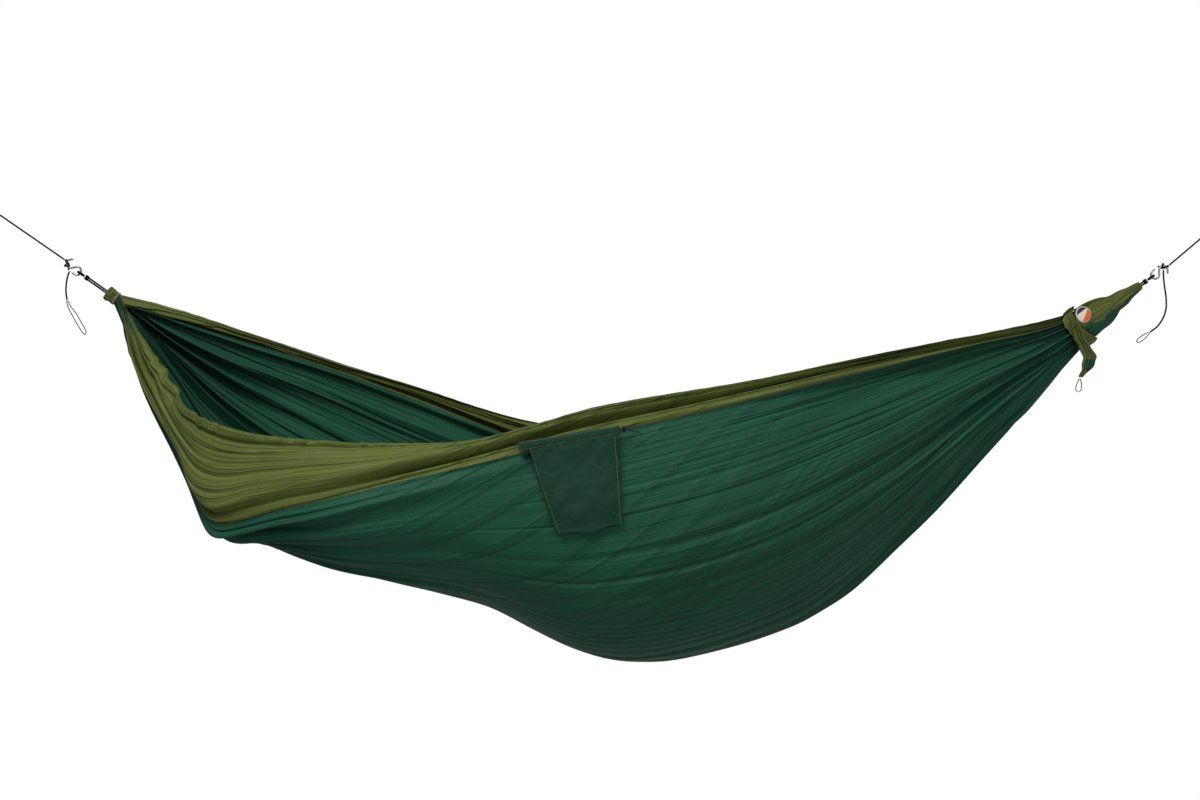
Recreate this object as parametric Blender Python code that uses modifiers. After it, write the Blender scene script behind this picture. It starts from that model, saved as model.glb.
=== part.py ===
"""Parachute-nylon travel hammock, hung by two ropes and S-hooks, with its stuff sack sewn to one side.

Metres, +Z up, +X along the hammock, -Y towards the side that carries the sack. The origin is the
bearing point of the left tree loop. The bed is a loft through five guide rails.
"""

import math

import bmesh
import bpy
import numpy as np
from mathutils import Matrix, Vector

# ---------------------------------------------------------------- driving dimensions
# cloth, as cut: width of one side panel and of the whole hammock, wall of the plain shells
SIDE_PANEL_WIDTH = 0.25
HAMMOCK_WIDTH = 2.00
CLOTH_SHELL = 0.0024
PANEL_GAP = 0.0022
FELL_WIDTH = 0.010
FELL_THICKNESS = 0.0012
SEAM_LIFT = 0.0014
TOUCH_GAP = 0.0004

# ropes
ROPE_DIAMETER = 0.0044
END_CORD_DIAMETER = 0.0046
TAIL_LOOP_DIAMETER = 0.0024
DRAWCORD_DIAMETER = 0.0025

# S-hook: wire, bend radius to the middle of the wire, straight lengths
HOOK_WIRE = 0.005
HOOK_BEND_RADIUS = 0.010
HOOK_STEM = 0.011
HOOK_TIP = 0.009
HOOK_KEEPER = 0.009

# suspension points and directions, all in the plane y = 0
LEFT_EYE = Vector((0.289, 0.0, -0.206))
RIGHT_EYE = Vector((2.860, 0.0, -0.215))
LEFT_CHANNEL = Vector((0.368, 0.0, -0.262))
RIGHT_CHANNEL = Vector((2.783, 0.0, -0.270))
LEFT_HOOK_TURN = math.radians(103.0)
RIGHT_HOOK_TURN = 0.0
LEFT_ANCHOR = Vector((0.0, 0.0, 0.0))
RIGHT_ANCHOR = Vector((3.041, 0.0, -0.069))
TREE_LOOP_LENGTH = 0.062
TREE_LOOP_HALF_WIDTH = 0.012
TREE_LOOP_MOUTH = 0.288
TREE_KNOT_RADIUS = 0.009

# eye knot of the end loops: a thick ring round the hook wire
EYE_RING_RADIUS = 0.0076
EYE_ROPE_RADIUS = 0.0031
EYE_SLACK = EYE_RING_RADIUS - EYE_ROPE_RADIUS - HOOK_WIRE / 2 - TOUCH_GAP

# sewn channel that gathers each end of the bed
CHANNEL_RADIUS = 0.017
CHANNEL_BORE = 0.0052
CHANNEL_LENGTH = 0.024
GATHER_RADIUS = 0.0150
GATHER_OPENING = math.radians(20.0)

# wrap round the gathered right end; the tied line is given in shares of the cloth's length
WRAP_SHELL = 0.002
WRAP_FULLNESS = 0.005
WRAP_TIP_LENGTH = 0.050
WRAP_TIP_RADIUS = 0.0085
TWIST_U = 0.948
TWIST_SLANT = 0.014
TWIST_SPAN = 0.010
TWIST_THICKNESS = 0.004
FLAP_WIDTH = 0.034
FLAP_LENGTH = 0.142
FLAP_BEND = (0.037, -0.096)
FLAP_THICKNESS = 0.003
PATCH_PLACE = (0.17, 0.27)
PATCH_RADIUS = 0.0205
PATCH_THICKNESS = 0.001
WEBBING_WIDTH = 0.010
WEBBING_THICKNESS = 0.0012
WEBBING_LOOP_LENGTH = 0.036
WEBBING_LOOP_HALF_WIDTH = 0.007
WEBBING_LOOP_RISE = 0.0026
WEBBING_LOOP_MOUTH = 0.20
WEBBING_SLANT = 0.12

# stuff sack: casing, pouch mouth and pouch bottom, in its own plane
SACK_TOP_CENTRE = Vector((1.4625, 0.0, -0.5875))
SACK_SLOPE = math.radians(9.6)
FACET_SAG = 0.0013
CASING_HALF_LENGTH = 0.117
CASING_HEIGHT = 0.020
CASING_DEPTH = 0.0052
CASING_WALL = 0.001
CASING_SPACING = 0.012
POUCH_MOUTH = (-0.095, 0.108)
POUCH_BOTTOM = (-0.061, 0.088)
POUCH_LENGTH = 0.208
POUCH_DEPTH = 0.018
POUCH_WALL = 0.0012
DRAWCORD_SLACK = 0.00085
DRAWCORD_INSIDE = 0.090
DRAWCORD_SHOWING = 0.006
DRAWCORD_KNOT_RADIUS = 0.0065
DRAWCORD_KNOT_SPREAD = 1.35
DRAWCORD_TAIL = 0.030
DRAWCORD_TAIL_APART = 0.0035

# guide rails of the bed, left to right, at these shares of the cloth's length
STATIONS = (0.06, 0.13, 0.20, 0.28, 0.40, 0.52, 0.64, 0.76, 0.87, 0.94)
NEAR_EDGE = (
    (0.447, -0.085, -0.377), (0.543, -0.170, -0.515), (0.700, -0.233, -0.582),
    (0.915, -0.268, -0.602), (1.230, -0.280, -0.590), (1.545, -0.273, -0.513),
    (1.865, -0.245, -0.459), (2.175, -0.188, -0.402), (2.450, -0.110, -0.350),
    (2.625, -0.058, -0.312),
)
NEAR_SEAM = (
    (0.426, -0.090, -0.427), (0.527, -0.143, -0.631), (0.622, -0.217, -0.786),
    (0.812, -0.288, -0.760), (1.140, -0.310, -0.682), (1.472, -0.302, -0.603),
    (1.800, -0.275, -0.528), (2.137, -0.205, -0.447), (2.430, -0.125, -0.376),
    (2.612, -0.070, -0.335),
)
KEEL = (
    (0.452, 0.010, -0.450), (0.568, 0.000, -0.640), (0.702, -0.020, -0.762),
    (0.905, -0.030, -0.884), (1.255, -0.010, -0.998), (1.585, 0.000, -1.143),
    (1.985, 0.015, -1.058), (2.264, 0.020, -0.854), (2.510, 0.010, -0.592),
    (2.655, 0.000, -0.430),
)
FAR_SEAM = (
    (0.500, 0.060, -0.305), (0.690, 0.120, -0.372), (0.865, 0.172, -0.430),
    (1.070, 0.225, -0.507), (1.360, 0.275, -0.617), (1.680, 0.300, -0.700),
    (2.000, 0.300, -0.750), (2.265, 0.240, -0.660), (2.475, 0.150, -0.500),
    (2.632, 0.074, -0.372),
)
FAR_EDGE = (
    (0.525, 0.055, -0.292), (0.697, 0.115, -0.350), (0.868, 0.165, -0.407),
    (1.066, 0.215, -0.468), (1.358, 0.262, -0.558), (1.665, 0.285, -0.604),
    (1.985, 0.280, -0.625), (2.260, 0.225, -0.540), (2.485, 0.135, -0.425),
    (2.640, 0.060, -0.335),
)
WALL_BULGE = 0.22
NEAR_SEAM_TUCK = 0.17

# routes of the free rope tails and their narrow end loops
LEFT_TAIL_ROUTE = (
    (0.2626, 0.0, -0.2009), (0.2575, 0.0, -0.2170), (0.2548, 0.0, -0.2350), (0.2545, 0.0, -0.2520),
    (0.2570, 0.0, -0.2705),
)
LEFT_TAIL_LOOP_ROUTE = (
    (0.2557, 0.0, -0.2711), (0.2585, 0.0, -0.2850), (0.2670, 0.0, -0.3020), (0.2770, 0.0, -0.3210),
    (0.2880, 0.0, -0.3390), (0.2955, 0.0, -0.3500), (0.3005, 0.0, -0.3525), (0.3025, 0.0, -0.3480),
    (0.2985, 0.0, -0.3370), (0.2890, 0.0, -0.3200), (0.2780, 0.0, -0.3010), (0.2655, 0.0, -0.2850),
    (0.2584, 0.0, -0.2707),
)
RIGHT_TAIL_ROUTE = (
    (2.8881, 0.0, -0.1969), (2.8885, 0.0, -0.2140), (2.8905, 0.0, -0.2350), (2.8945, 0.0, -0.2650),
    (2.8945, 0.0, -0.2900), (2.8875, 0.0, -0.3130), (2.8740, 0.0, -0.3330), (2.8550, 0.0, -0.3480),
)
RIGHT_TAIL_LOOP_ROUTE = (
    (2.8538, 0.0, -0.3472), (2.8440, 0.0, -0.3515), (2.8340, 0.0, -0.3580), (2.8260, 0.0, -0.3650),
    (2.8243, 0.0, -0.3695), (2.8270, 0.0, -0.3720), (2.8320, 0.0, -0.3705), (2.8420, 0.0, -0.3640),
    (2.8500, 0.0, -0.3560), (2.8556, 0.0, -0.3494),
)

COLOURS = {
    "forest": ((0.012, 0.075, 0.040), 0.55, 0.0),
    "olive": ((0.090, 0.120, 0.030), 0.55, 0.0),
    "rope": ((0.006, 0.008, 0.016), 0.75, 0.0),
    "steel": ((0.45, 0.45, 0.46), 0.35, 1.0),
    "trim": ((0.50, 0.12, 0.03), 0.60, 0.0),
}


# ---------------------------------------------------------------- general helpers
def clear_scene():
    for old in list(bpy.data.objects):
        bpy.data.objects.remove(old, do_unlink=True)


def material(name, kind):
    colour, roughness, metallic = COLOURS[kind]
    made = bpy.data.materials.new(name)
    made.use_nodes = True
    shader = made.node_tree.nodes["Principled BSDF"]
    shader.inputs["Base Color"].default_value = (*colour, 1.0)
    shader.inputs["Roughness"].default_value = roughness
    shader.inputs["Metallic"].default_value = metallic
    return made


def add_object(name, data, kind):
    made = bpy.data.objects.new(name, data)
    data.materials.append(material(f"{name}_finish", kind))
    bpy.data.collections["travel_hammock"].objects.link(made)
    return made


def spline_through(points, knots, at):
    """Catmull-Rom curve through the points, whose knots need not be evenly spaced."""
    points = np.array(points, dtype=float)
    knots = np.array(knots, dtype=float)
    slopes = np.gradient(points, knots, axis=0)
    place = int(np.clip(np.searchsorted(knots, at) - 1, 0, len(knots) - 2))
    span = knots[place + 1] - knots[place]
    t = (at - knots[place]) / span
    start = (2 * t**3 - 3 * t**2 + 1) * points[place] + (t**3 - 2 * t**2 + t) * span * slopes[place]
    end = (3 * t**2 - 2 * t**3) * points[place + 1] + (t**3 - t**2) * span * slopes[place + 1]
    return start + end


def smooth_route(route, step):
    """Points about one step apart on a smooth curve through a route."""
    lengths = [0.0]
    for before, after in zip(route, route[1:]):
        lengths.append(lengths[-1] + (Vector(after) - Vector(before)).length)
    count = max(3, round(lengths[-1] / step))
    return [spline_through(route, lengths, lengths[-1] * i / count) for i in range(count + 1)]


def tube(name, points, diameter, kind, sides=2):
    curve = bpy.data.curves.new(name, "CURVE")
    curve.dimensions = "3D"
    curve.bevel_depth = diameter / 2
    curve.bevel_resolution = sides
    curve.use_fill_caps = True
    line = curve.splines.new("POLY")
    line.points.add(len(points) - 1)
    for spot, point in zip(line.points, points):
        spot.co = (*point, 1.0)
    return add_object(name, curve, kind)


def shell(name, rows, thickness, kind, closed=False, floor=False):
    """A sheet through rows of points; Solidify gives it its wall, inwards if it has a floor."""
    mesh = bpy.data.meshes.new(name)
    bm = bmesh.new()
    grid = [[bm.verts.new(tuple(point)) for point in row] for row in rows]
    last = len(grid[0]) if closed else len(grid[0]) - 1
    for low, high in zip(grid, grid[1:]):
        for i in range(last):
            j = (i + 1) % len(low)
            bm.faces.new((low[i], low[j], high[j], high[i]))
    if floor:
        bm.faces.new(grid[-1])
        bmesh.ops.recalc_face_normals(bm, faces=bm.faces)
    bm.to_mesh(mesh)
    bm.free()
    mesh.shade_smooth()
    made = add_object(name, mesh, kind)
    wall = made.modifiers.new("wall", "SOLIDIFY")
    wall.thickness = thickness
    wall.offset = -1.0 if floor else 0.0
    return made


def frame_along(origin, direction):
    turn = Vector(direction).to_track_quat("Z", "Y").to_matrix().to_4x4()
    return Matrix.Translation(origin) @ turn


def turned(name, profile, place, kind, steps=20):
    """A hollow solid of revolution; the closed profile is (radius, height), down its outer side."""
    mesh = bpy.data.meshes.new(name)
    bm = bmesh.new()
    verts = [bm.verts.new((radius, 0.0, height)) for radius, height in profile]
    for first, second in zip(verts, [*verts[1:], verts[0]]):
        bm.edges.new((first, second))
    bm.to_mesh(mesh)
    bm.free()
    made = add_object(name, mesh, kind)
    made.matrix_world = place
    spin = made.modifiers.new("turn", "SCREW")
    spin.steps = steps
    spin.render_steps = steps
    spin.use_merge_vertices = True
    spin.merge_threshold = 0.00005
    return made


def ball(name, centre, radius, squash, kind):
    mesh = bpy.data.meshes.new(name)
    bm = bmesh.new()
    bmesh.ops.create_uvsphere(bm, u_segments=14, v_segments=9, radius=radius)
    bmesh.ops.scale(bm, vec=(1.0, squash, 1.0), verts=bm.verts)
    bm.to_mesh(mesh)
    bm.free()
    mesh.shade_smooth()
    made = add_object(name, mesh, kind)
    made.location = centre
    return made


def ring(name, place, radius, thickness, kind):
    """A torus about the local Z axis of its place."""
    section = 10
    profile = []
    for i in range(section):
        angle = -2 * math.pi * i / section
        profile.append((radius + thickness * math.cos(angle), thickness * math.sin(angle)))
    return turned(name, profile, place, kind, steps=24)


# ---------------------------------------------------------------- bed surface
LEFT_PULL = (LEFT_CHANNEL - LEFT_EYE).normalized()
RIGHT_PULL = (RIGHT_EYE - RIGHT_CHANNEL).normalized()
CHANNEL_HALF = CHANNEL_LENGTH / 2 + TOUCH_GAP


def gather_point(centre, along, v, radius=GATHER_RADIUS):
    """A point of the nearly closed ring that the gathered cloth makes at its channel."""
    up = Vector((-along.z, 0.0, along.x))
    share = v / HAMMOCK_WIDTH
    angle = -GATHER_OPENING / 2 - (2 * math.pi - GATHER_OPENING) * share
    spoke = up * math.cos(angle) + Vector((0.0, 1.0, 0.0)) * math.sin(angle)
    return centre + spoke * radius


def wall_between(seam, keel):
    """The middle of a side wall, bowed outwards from the straight line between seam and keel."""
    middle = (seam + keel) / 2
    chord = keel - seam
    outwards = np.array((0.0, chord[2], -chord[1])) * (1.0 if seam[1] < 0.0 else -1.0)
    return middle + outwards * WALL_BULGE


RAIL_V = (
    0.0, SIDE_PANEL_WIDTH, HAMMOCK_WIDTH * 0.3, HAMMOCK_WIDTH * 0.5, HAMMOCK_WIDTH * 0.7,
    HAMMOCK_WIDTH - SIDE_PANEL_WIDTH, HAMMOCK_WIDTH,
)


def make_rails():
    """Seven guide rails, each with its points at both gathers and at the stations."""
    near_wall = [wall_between(np.array(s), np.array(k)) for s, k in zip(NEAR_SEAM, KEEL)]
    far_wall = [wall_between(np.array(s), np.array(k)) for s, k in zip(FAR_SEAM, KEEL)]
    left_end = LEFT_CHANNEL + LEFT_PULL * CHANNEL_HALF
    right_end = RIGHT_CHANNEL - RIGHT_PULL * CHANNEL_HALF
    rails = []
    inner = (NEAR_EDGE, NEAR_SEAM, near_wall, KEEL, far_wall, FAR_SEAM, FAR_EDGE)
    for v, stations in zip(RAIL_V, inner):
        first = np.array(gather_point(left_end, LEFT_PULL, v))
        last = np.array(gather_point(right_end, RIGHT_PULL, v))
        rails.append([first, *[np.array(point) for point in stations], last])
    return rails


RAILS = make_rails()
RAIL_U = (0.0, *STATIONS, 1.0)


def rise(value, start, end):
    """Smooth step from 0 at start to 1 at end."""
    t = min(max((value - start) / (end - start), 0.0), 1.0)
    return t * t * (3 - 2 * t)


def section_place(u, v):
    """Where v falls on a section: near the left gather the near seam is drawn under the bed."""
    middle = HAMMOCK_WIDTH / 2
    if v >= middle:
        return v
    tuck = NEAR_SEAM_TUCK * rise(u, 0.0, 0.06) * (1.0 - rise(u, 0.14, 0.24))
    if v < SIDE_PANEL_WIDTH:
        return v * (SIDE_PANEL_WIDTH + tuck) / SIDE_PANEL_WIDTH
    left_over = (middle - v) / (middle - SIDE_PANEL_WIDTH)
    return middle - left_over * (middle - SIDE_PANEL_WIDTH - tuck)


def bed_point(u, v):
    """A point of the cloth: u is the share of its length, v its distance from the near edge."""
    section = [spline_through(rail, RAIL_U, u) for rail in RAILS]
    return spline_through(section, RAIL_V, section_place(u, v))


def bed_normal(u, v):
    """The outward direction of the cloth, away from the inside of the bed."""
    step_u = 0.002
    step_v = 0.004
    low_u = min(max(u, step_u), 1 - step_u)
    low_v = min(max(v, step_v), HAMMOCK_WIDTH - step_v)
    along = bed_point(low_u + step_u, low_v) - bed_point(low_u - step_u, low_v)
    across = bed_point(low_u, low_v + step_v) - bed_point(low_u, low_v - step_v)
    outwards = np.cross(across, along)
    return outwards / np.linalg.norm(outwards)


def across_share(u, v, distance):
    """How much v changes over a real distance across the cloth."""
    step_v = 0.004
    stretch = np.linalg.norm(bed_point(u, v + step_v) - bed_point(u, v - step_v)) / (2 * step_v)
    return distance / stretch


BED_ROWS = 30
ROW_CROWDING = 0.7


def row_places():
    """Shares of the length, closer together towards both gathers."""
    places = [i / BED_ROWS for i in range(BED_ROWS + 1)]
    return [at - ROW_CROWDING * math.sin(2 * math.pi * at) / (2 * math.pi) for at in places]


def panel(name, v_from, v_to, columns, kind):
    """One cloth panel; an edge that meets a seam stays half the panel gap away from it."""
    rows = []
    for u in row_places():
        low = v_from
        high = v_to
        if v_from > 0.0:
            low += across_share(u, v_from, PANEL_GAP / 2)
        if v_to < HAMMOCK_WIDTH:
            high -= across_share(u, v_to, PANEL_GAP / 2)
        rows.append([bed_point(u, low + (high - low) * i / columns) for i in range(columns + 1)])
    return shell(name, rows, CLOTH_SHELL, kind)


def felled_seam(name, v, kind):
    """The folded and stitched strip that covers the join of two panels on the outside."""
    lift = CLOTH_SHELL / 2 + SEAM_LIFT + FELL_THICKNESS / 2
    rows = []
    for u in row_places():
        half = across_share(u, v, FELL_WIDTH / 2)
        row = []
        for side in (-1, 0, 1):
            place = v + side * half
            row.append(bed_point(u, place) + bed_normal(u, place) * lift)
        rows.append(row)
    return shell(name, rows, FELL_THICKNESS, kind)


def make_bed():
    far_seam_v = HAMMOCK_WIDTH - SIDE_PANEL_WIDTH
    panel("centre_panel", SIDE_PANEL_WIDTH, far_seam_v, 12, "forest")
    panel("near_side_panel", 0.0, SIDE_PANEL_WIDTH, 3, "olive")
    panel("far_side_panel", far_seam_v, HAMMOCK_WIDTH, 3, "olive")
    felled_seam("near_seam", SIDE_PANEL_WIDTH, "olive")
    felled_seam("far_seam", far_seam_v, "olive")


# ---------------------------------------------------------------- end channels and end loops
def end_channel(name, centre, along):
    """The sewn channel at a gathered end, with the bore that the end loop passes through."""
    half = CHANNEL_LENGTH / 2
    rim = 0.004
    profile = (
        (CHANNEL_RADIUS - rim, half), (CHANNEL_RADIUS, half - rim), (CHANNEL_RADIUS, -half + rim),
        (CHANNEL_RADIUS - rim, -half), (CHANNEL_BORE, -half), (CHANNEL_BORE, half),
    )
    turned(name, profile, frame_along(centre, along), "olive")


def end_loop(name, eye, channel):
    """Two strands side by side, from the eye knot into the bore of the channel."""
    pull = (channel - eye).normalized()
    beside = Vector((-pull.z, 0.0, pull.x)) * (END_CORD_DIAMETER / 2 + TOUCH_GAP / 2)
    start = eye + pull * (EYE_SLACK + EYE_RING_RADIUS + EYE_ROPE_RADIUS + TOUCH_GAP)
    end = channel + pull * (CHANNEL_LENGTH / 2 - 2 * TOUCH_GAP)
    for strand, side in ((name, -1), (f"{name}_second", 1)):
        points = [start.lerp(end, i / 3) + beside * side for i in range(4)]
        tube(strand, points, END_CORD_DIAMETER, "rope")


def eye_knot(name, eye, bend_centre):
    """The thick eye of an end loop, round the hook wire where the pull meets it."""
    pull = (eye - bend_centre).normalized()
    wire_direction = Vector((-pull.z, 0.0, pull.x))
    place = frame_along(eye + pull * EYE_SLACK, wire_direction)
    ring(name, place, EYE_RING_RADIUS, EYE_ROPE_RADIUS, "rope")


# ---------------------------------------------------------------- S-hooks, ropes, hitches
def arc(centre, radius, start, end, count):
    angles = [start + (end - start) * i / count for i in range(count + 1)]
    return [(centre[0] + radius * math.cos(a), centre[1] + radius * math.sin(a)) for a in angles]


UPPER_BEND = (2 * HOOK_BEND_RADIUS, HOOK_STEM)
KEEPER_ANGLE = math.radians(135.0)


def hook_outline():
    """The wire's middle line, from the keeper end to the tip, about the lower bend's centre."""
    keeper = (
        HOOK_BEND_RADIUS * math.cos(KEEPER_ANGLE) + HOOK_KEEPER * math.sin(KEEPER_ANGLE),
        HOOK_BEND_RADIUS * math.sin(KEEPER_ANGLE) - HOOK_KEEPER * math.cos(KEEPER_ANGLE),
    )
    lower = arc((0.0, 0.0), HOOK_BEND_RADIUS, KEEPER_ANGLE, 2 * math.pi, 12)
    upper = arc(UPPER_BEND, HOOK_BEND_RADIUS, math.pi, 0.0, 10)
    tip = (UPPER_BEND[0] + HOOK_BEND_RADIUS, UPPER_BEND[1] - HOOK_TIP)
    return [keeper, *lower, *upper, tip]


def hook_place(eye, channel, turn):
    """The lower bend's centre lies one bend radius behind the eye, against the pull."""
    pull = (channel - eye).normalized()
    centre = eye - pull * HOOK_BEND_RADIUS
    return centre, turn


def in_plane(place, point, y=0.0):
    centre, turn = place
    a = point[0] * math.cos(turn) - point[1] * math.sin(turn)
    b = point[0] * math.sin(turn) + point[1] * math.cos(turn)
    return centre + Vector((a, y, b))


def s_hook(name, place):
    tube(name, [in_plane(place, point) for point in hook_outline()], HOOK_WIRE, "steel", sides=3)


HITCH_RADIUS = (HOOK_WIRE + ROPE_DIAMETER) / 2 + TOUCH_GAP
HITCH_TURNS = 2.15
HITCH_ARC = math.radians(118.0)
HITCH_REACH = HOOK_BEND_RADIUS + HITCH_RADIUS + ROPE_DIAMETER / 2


def hitch(name, place):
    """Turns of rope wound round the curved wire of the upper bend."""
    points = []
    count = round(HITCH_TURNS * 14)
    for i in range(count + 1):
        share = i / count
        along = math.pi / 2 + HITCH_ARC * (0.5 - share)
        around = 2 * math.pi * HITCH_TURNS * share
        reach = HOOK_BEND_RADIUS + HITCH_RADIUS * math.cos(around)
        spot = (UPPER_BEND[0] + reach * math.cos(along), UPPER_BEND[1] + reach * math.sin(along))
        points.append(in_plane(place, spot, HITCH_RADIUS * math.sin(around)))
    tube(name, points, ROPE_DIAMETER, "rope")


def straight_rope(name, start, end):
    count = round((end - start).length / (3 * ROPE_DIAMETER))
    tube(name, [start.lerp(end, i / count) for i in range(count + 1)], ROPE_DIAMETER, "rope")


def tree_end(side, anchor, bend):
    """The eye loop that goes round the tree, its knot, and where the straight rope leaves it."""
    pull = (bend - anchor).normalized()
    beside = Vector((-pull.z, 0.0, pull.x))
    knot = anchor + pull * TREE_LOOP_LENGTH
    points = []
    for i in range(21):
        angle = TREE_LOOP_MOUTH + (2 * math.pi - 2 * TREE_LOOP_MOUTH) * i / 20
        back = TREE_LOOP_LENGTH * math.sin(angle / 2)
        out = TREE_LOOP_HALF_WIDTH * math.sin(angle)
        points.append(knot - pull * back + beside * out)
    tube(f"{side}_tree_loop", points, ROPE_DIAMETER, "rope")
    ball(f"{side}_tree_knot", knot, TREE_KNOT_RADIUS, 0.85, "rope")
    return knot + pull * (TREE_KNOT_RADIUS + TOUCH_GAP)


def make_suspension():
    places = {
        "left": (hook_place(LEFT_EYE, LEFT_CHANNEL, LEFT_HOOK_TURN), LEFT_EYE, LEFT_ANCHOR),
        "right": (hook_place(RIGHT_EYE, RIGHT_CHANNEL, RIGHT_HOOK_TURN), RIGHT_EYE, RIGHT_ANCHOR),
    }
    for side, (place, eye, anchor) in places.items():
        s_hook(f"{side}_s_hook", place)
        hitch(f"{side}_hitch", place)
        bend = in_plane(place, UPPER_BEND)
        rope_start = tree_end(side, anchor, bend)
        towards_tree = (anchor - bend).normalized()
        straight_rope(f"{side}_rope", rope_start, bend + towards_tree * (HITCH_REACH + TOUCH_GAP))
        eye_knot(f"{side}_loop_knot", eye, place[0])


def make_tails():
    for side, tail, loop in (
        ("left", LEFT_TAIL_ROUTE, LEFT_TAIL_LOOP_ROUTE),
        ("right", RIGHT_TAIL_ROUTE, RIGHT_TAIL_LOOP_ROUTE),
    ):
        tube(f"{side}_tail", smooth_route(tail, 2.5 * ROPE_DIAMETER), ROPE_DIAMETER, "rope")
        points = smooth_route(loop, 2.5 * TAIL_LOOP_DIAMETER)
        tube(f"{side}_tail_loop", points, TAIL_LOOP_DIAMETER, "rope")


# ---------------------------------------------------------------- wrap round the right end
WRAP_COLUMNS = 22
CROWN_LIFT = 1.5
CLEAR_OF_SEAM = CLOTH_SHELL / 2 + SEAM_LIFT + FELL_THICKNESS + 2 * TOUCH_GAP


def wrap_line(v, shift):
    """Share of the length on the slanting line where the wrap is tied down."""
    return TWIST_U + TWIST_SLANT * math.sin(math.pi * v / HAMMOCK_WIDTH) ** 2 + shift


def wrap_u(v, share):
    """From the tied line, at share 0, to the channel, at share 1."""
    start = wrap_line(v, TWIST_SPAN + 0.0012)
    return start + (1.0 - start) * share


def lifted(u, v, lift):
    return bed_point(u, v) + bed_normal(u, v) * lift


def wrap_columns():
    return [HAMMOCK_WIDTH * (j + 0.5) / WRAP_COLUMNS for j in range(WRAP_COLUMNS)]


def wrapped_ring(u_at, lift):
    """A closed ring outside the cloth, carried over the rims of both edges."""
    points = [lifted(u_at(v), v, lift) for v in wrap_columns()]
    middle = np.mean(points, axis=0)
    for v in (HAMMOCK_WIDTH, 0.0):
        rim = bed_point(u_at(v), v)
        away = rim - middle
        points.append(rim + away / np.linalg.norm(away) * CROWN_LIFT * lift)
    return points


def wrap_lift(share):
    return CLEAR_OF_SEAM + WRAP_SHELL / 2 + WRAP_FULLNESS * math.sin(math.pi * share)


def end_wrap():
    """The cone of cloth over the gathered end, from the tied line to a small mouth at its tip."""
    rows = []
    for i in range(7):
        share = i / 6
        rows.append(wrapped_ring(lambda v, at=share: wrap_u(v, at), wrap_lift(share)))
    front = CHANNEL_LENGTH / 2
    for distance, radius in (
        (front, CHANNEL_RADIUS + TOUCH_GAP + WRAP_SHELL / 2),
        (front + WRAP_TIP_LENGTH / 2, (CHANNEL_RADIUS + WRAP_TIP_RADIUS) / 2),
        (front + WRAP_TIP_LENGTH, WRAP_TIP_RADIUS),
    ):
        centre = RIGHT_CHANNEL + RIGHT_PULL * distance
        places = [*wrap_columns(), HAMMOCK_WIDTH, 0.0]
        rows.append([gather_point(centre, RIGHT_PULL, v, radius) for v in places])
    shell("end_wrap_cone", rows, WRAP_SHELL, "olive", closed=True)


def end_twist():
    """The twisted band that ties the wrap down round the gathered cloth."""
    lift = CLEAR_OF_SEAM + TWIST_THICKNESS / 2
    rows = []
    for i in range(4):
        shift = TWIST_SPAN * i / 3
        rows.append(wrapped_ring(lambda v, by=shift: wrap_line(v, by), lift))
    shell("end_wrap_twist", rows, TWIST_THICKNESS, "olive", closed=True)
    return rows


def end_flap(twist_rows):
    """The loose corner of the wrap, hanging against the near side of the twisted band."""
    near = min((point for row in twist_rows for point in row), key=lambda point: point[1])
    outline = bpy.data.curves.new("end_wrap_flap", "CURVE")
    outline.dimensions = "2D"
    outline.fill_mode = "BOTH"
    outline.extrude = FLAP_THICKNESS / 2
    line = outline.splines.new("POLY")
    half = FLAP_WIDTH / 2
    bend_x, bend_z = FLAP_BEND
    tip = bend_x * 0.38
    corners = (
        (-half, -0.005), (half * 0.6, 0.0), (bend_x + half * 0.2, bend_z * 0.6), (bend_x + half, bend_z),
        (bend_x - half * 0.2, -FLAP_LENGTH + 0.014), (tip + 0.0034, -FLAP_LENGTH), (tip - 0.0034, -FLAP_LENGTH),
        (bend_x - half * 1.2, bend_z), (-half * 0.5, bend_z * 0.5),
    )
    line.points.add(len(corners) - 1)
    line.use_cyclic_u = True
    for spot, (x, y) in zip(line.points, corners):
        spot.co = (x, y, 0.0, 1.0)
    made = add_object("end_wrap_flap", outline, "olive")
    clear = TWIST_THICKNESS / 2 + TOUCH_GAP + FLAP_THICKNESS / 2
    place = Vector((near[0] + half * 0.8, near[1] - clear, near[2] + 0.006))
    made.location = place
    made.rotation_euler = (math.pi / 2, 0.0, 0.0)
    return place + Vector((tip, 0.0, -FLAP_LENGTH))


def webbing_loop(hang):
    """A flat loop of webbing sewn to the tip of the flap."""
    count = 18
    rows = []
    for i in range(count + 1):
        angle = WEBBING_LOOP_MOUTH + (2 * math.pi - 2 * WEBBING_LOOP_MOUTH) * i / count
        down = WEBBING_LOOP_LENGTH * math.sin(angle / 2)
        out = WEBBING_LOOP_HALF_WIDTH * math.sin(angle)
        centre = hang + Vector((out - WEBBING_SLANT * down, 0.0, -down + WEBBING_LOOP_RISE))
        rows.append([centre + Vector((0.0, side * WEBBING_WIDTH / 2, 0.0)) for side in (-1, 1)])
    shell("webbing_loop", rows, WEBBING_THICKNESS, "trim")


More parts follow.
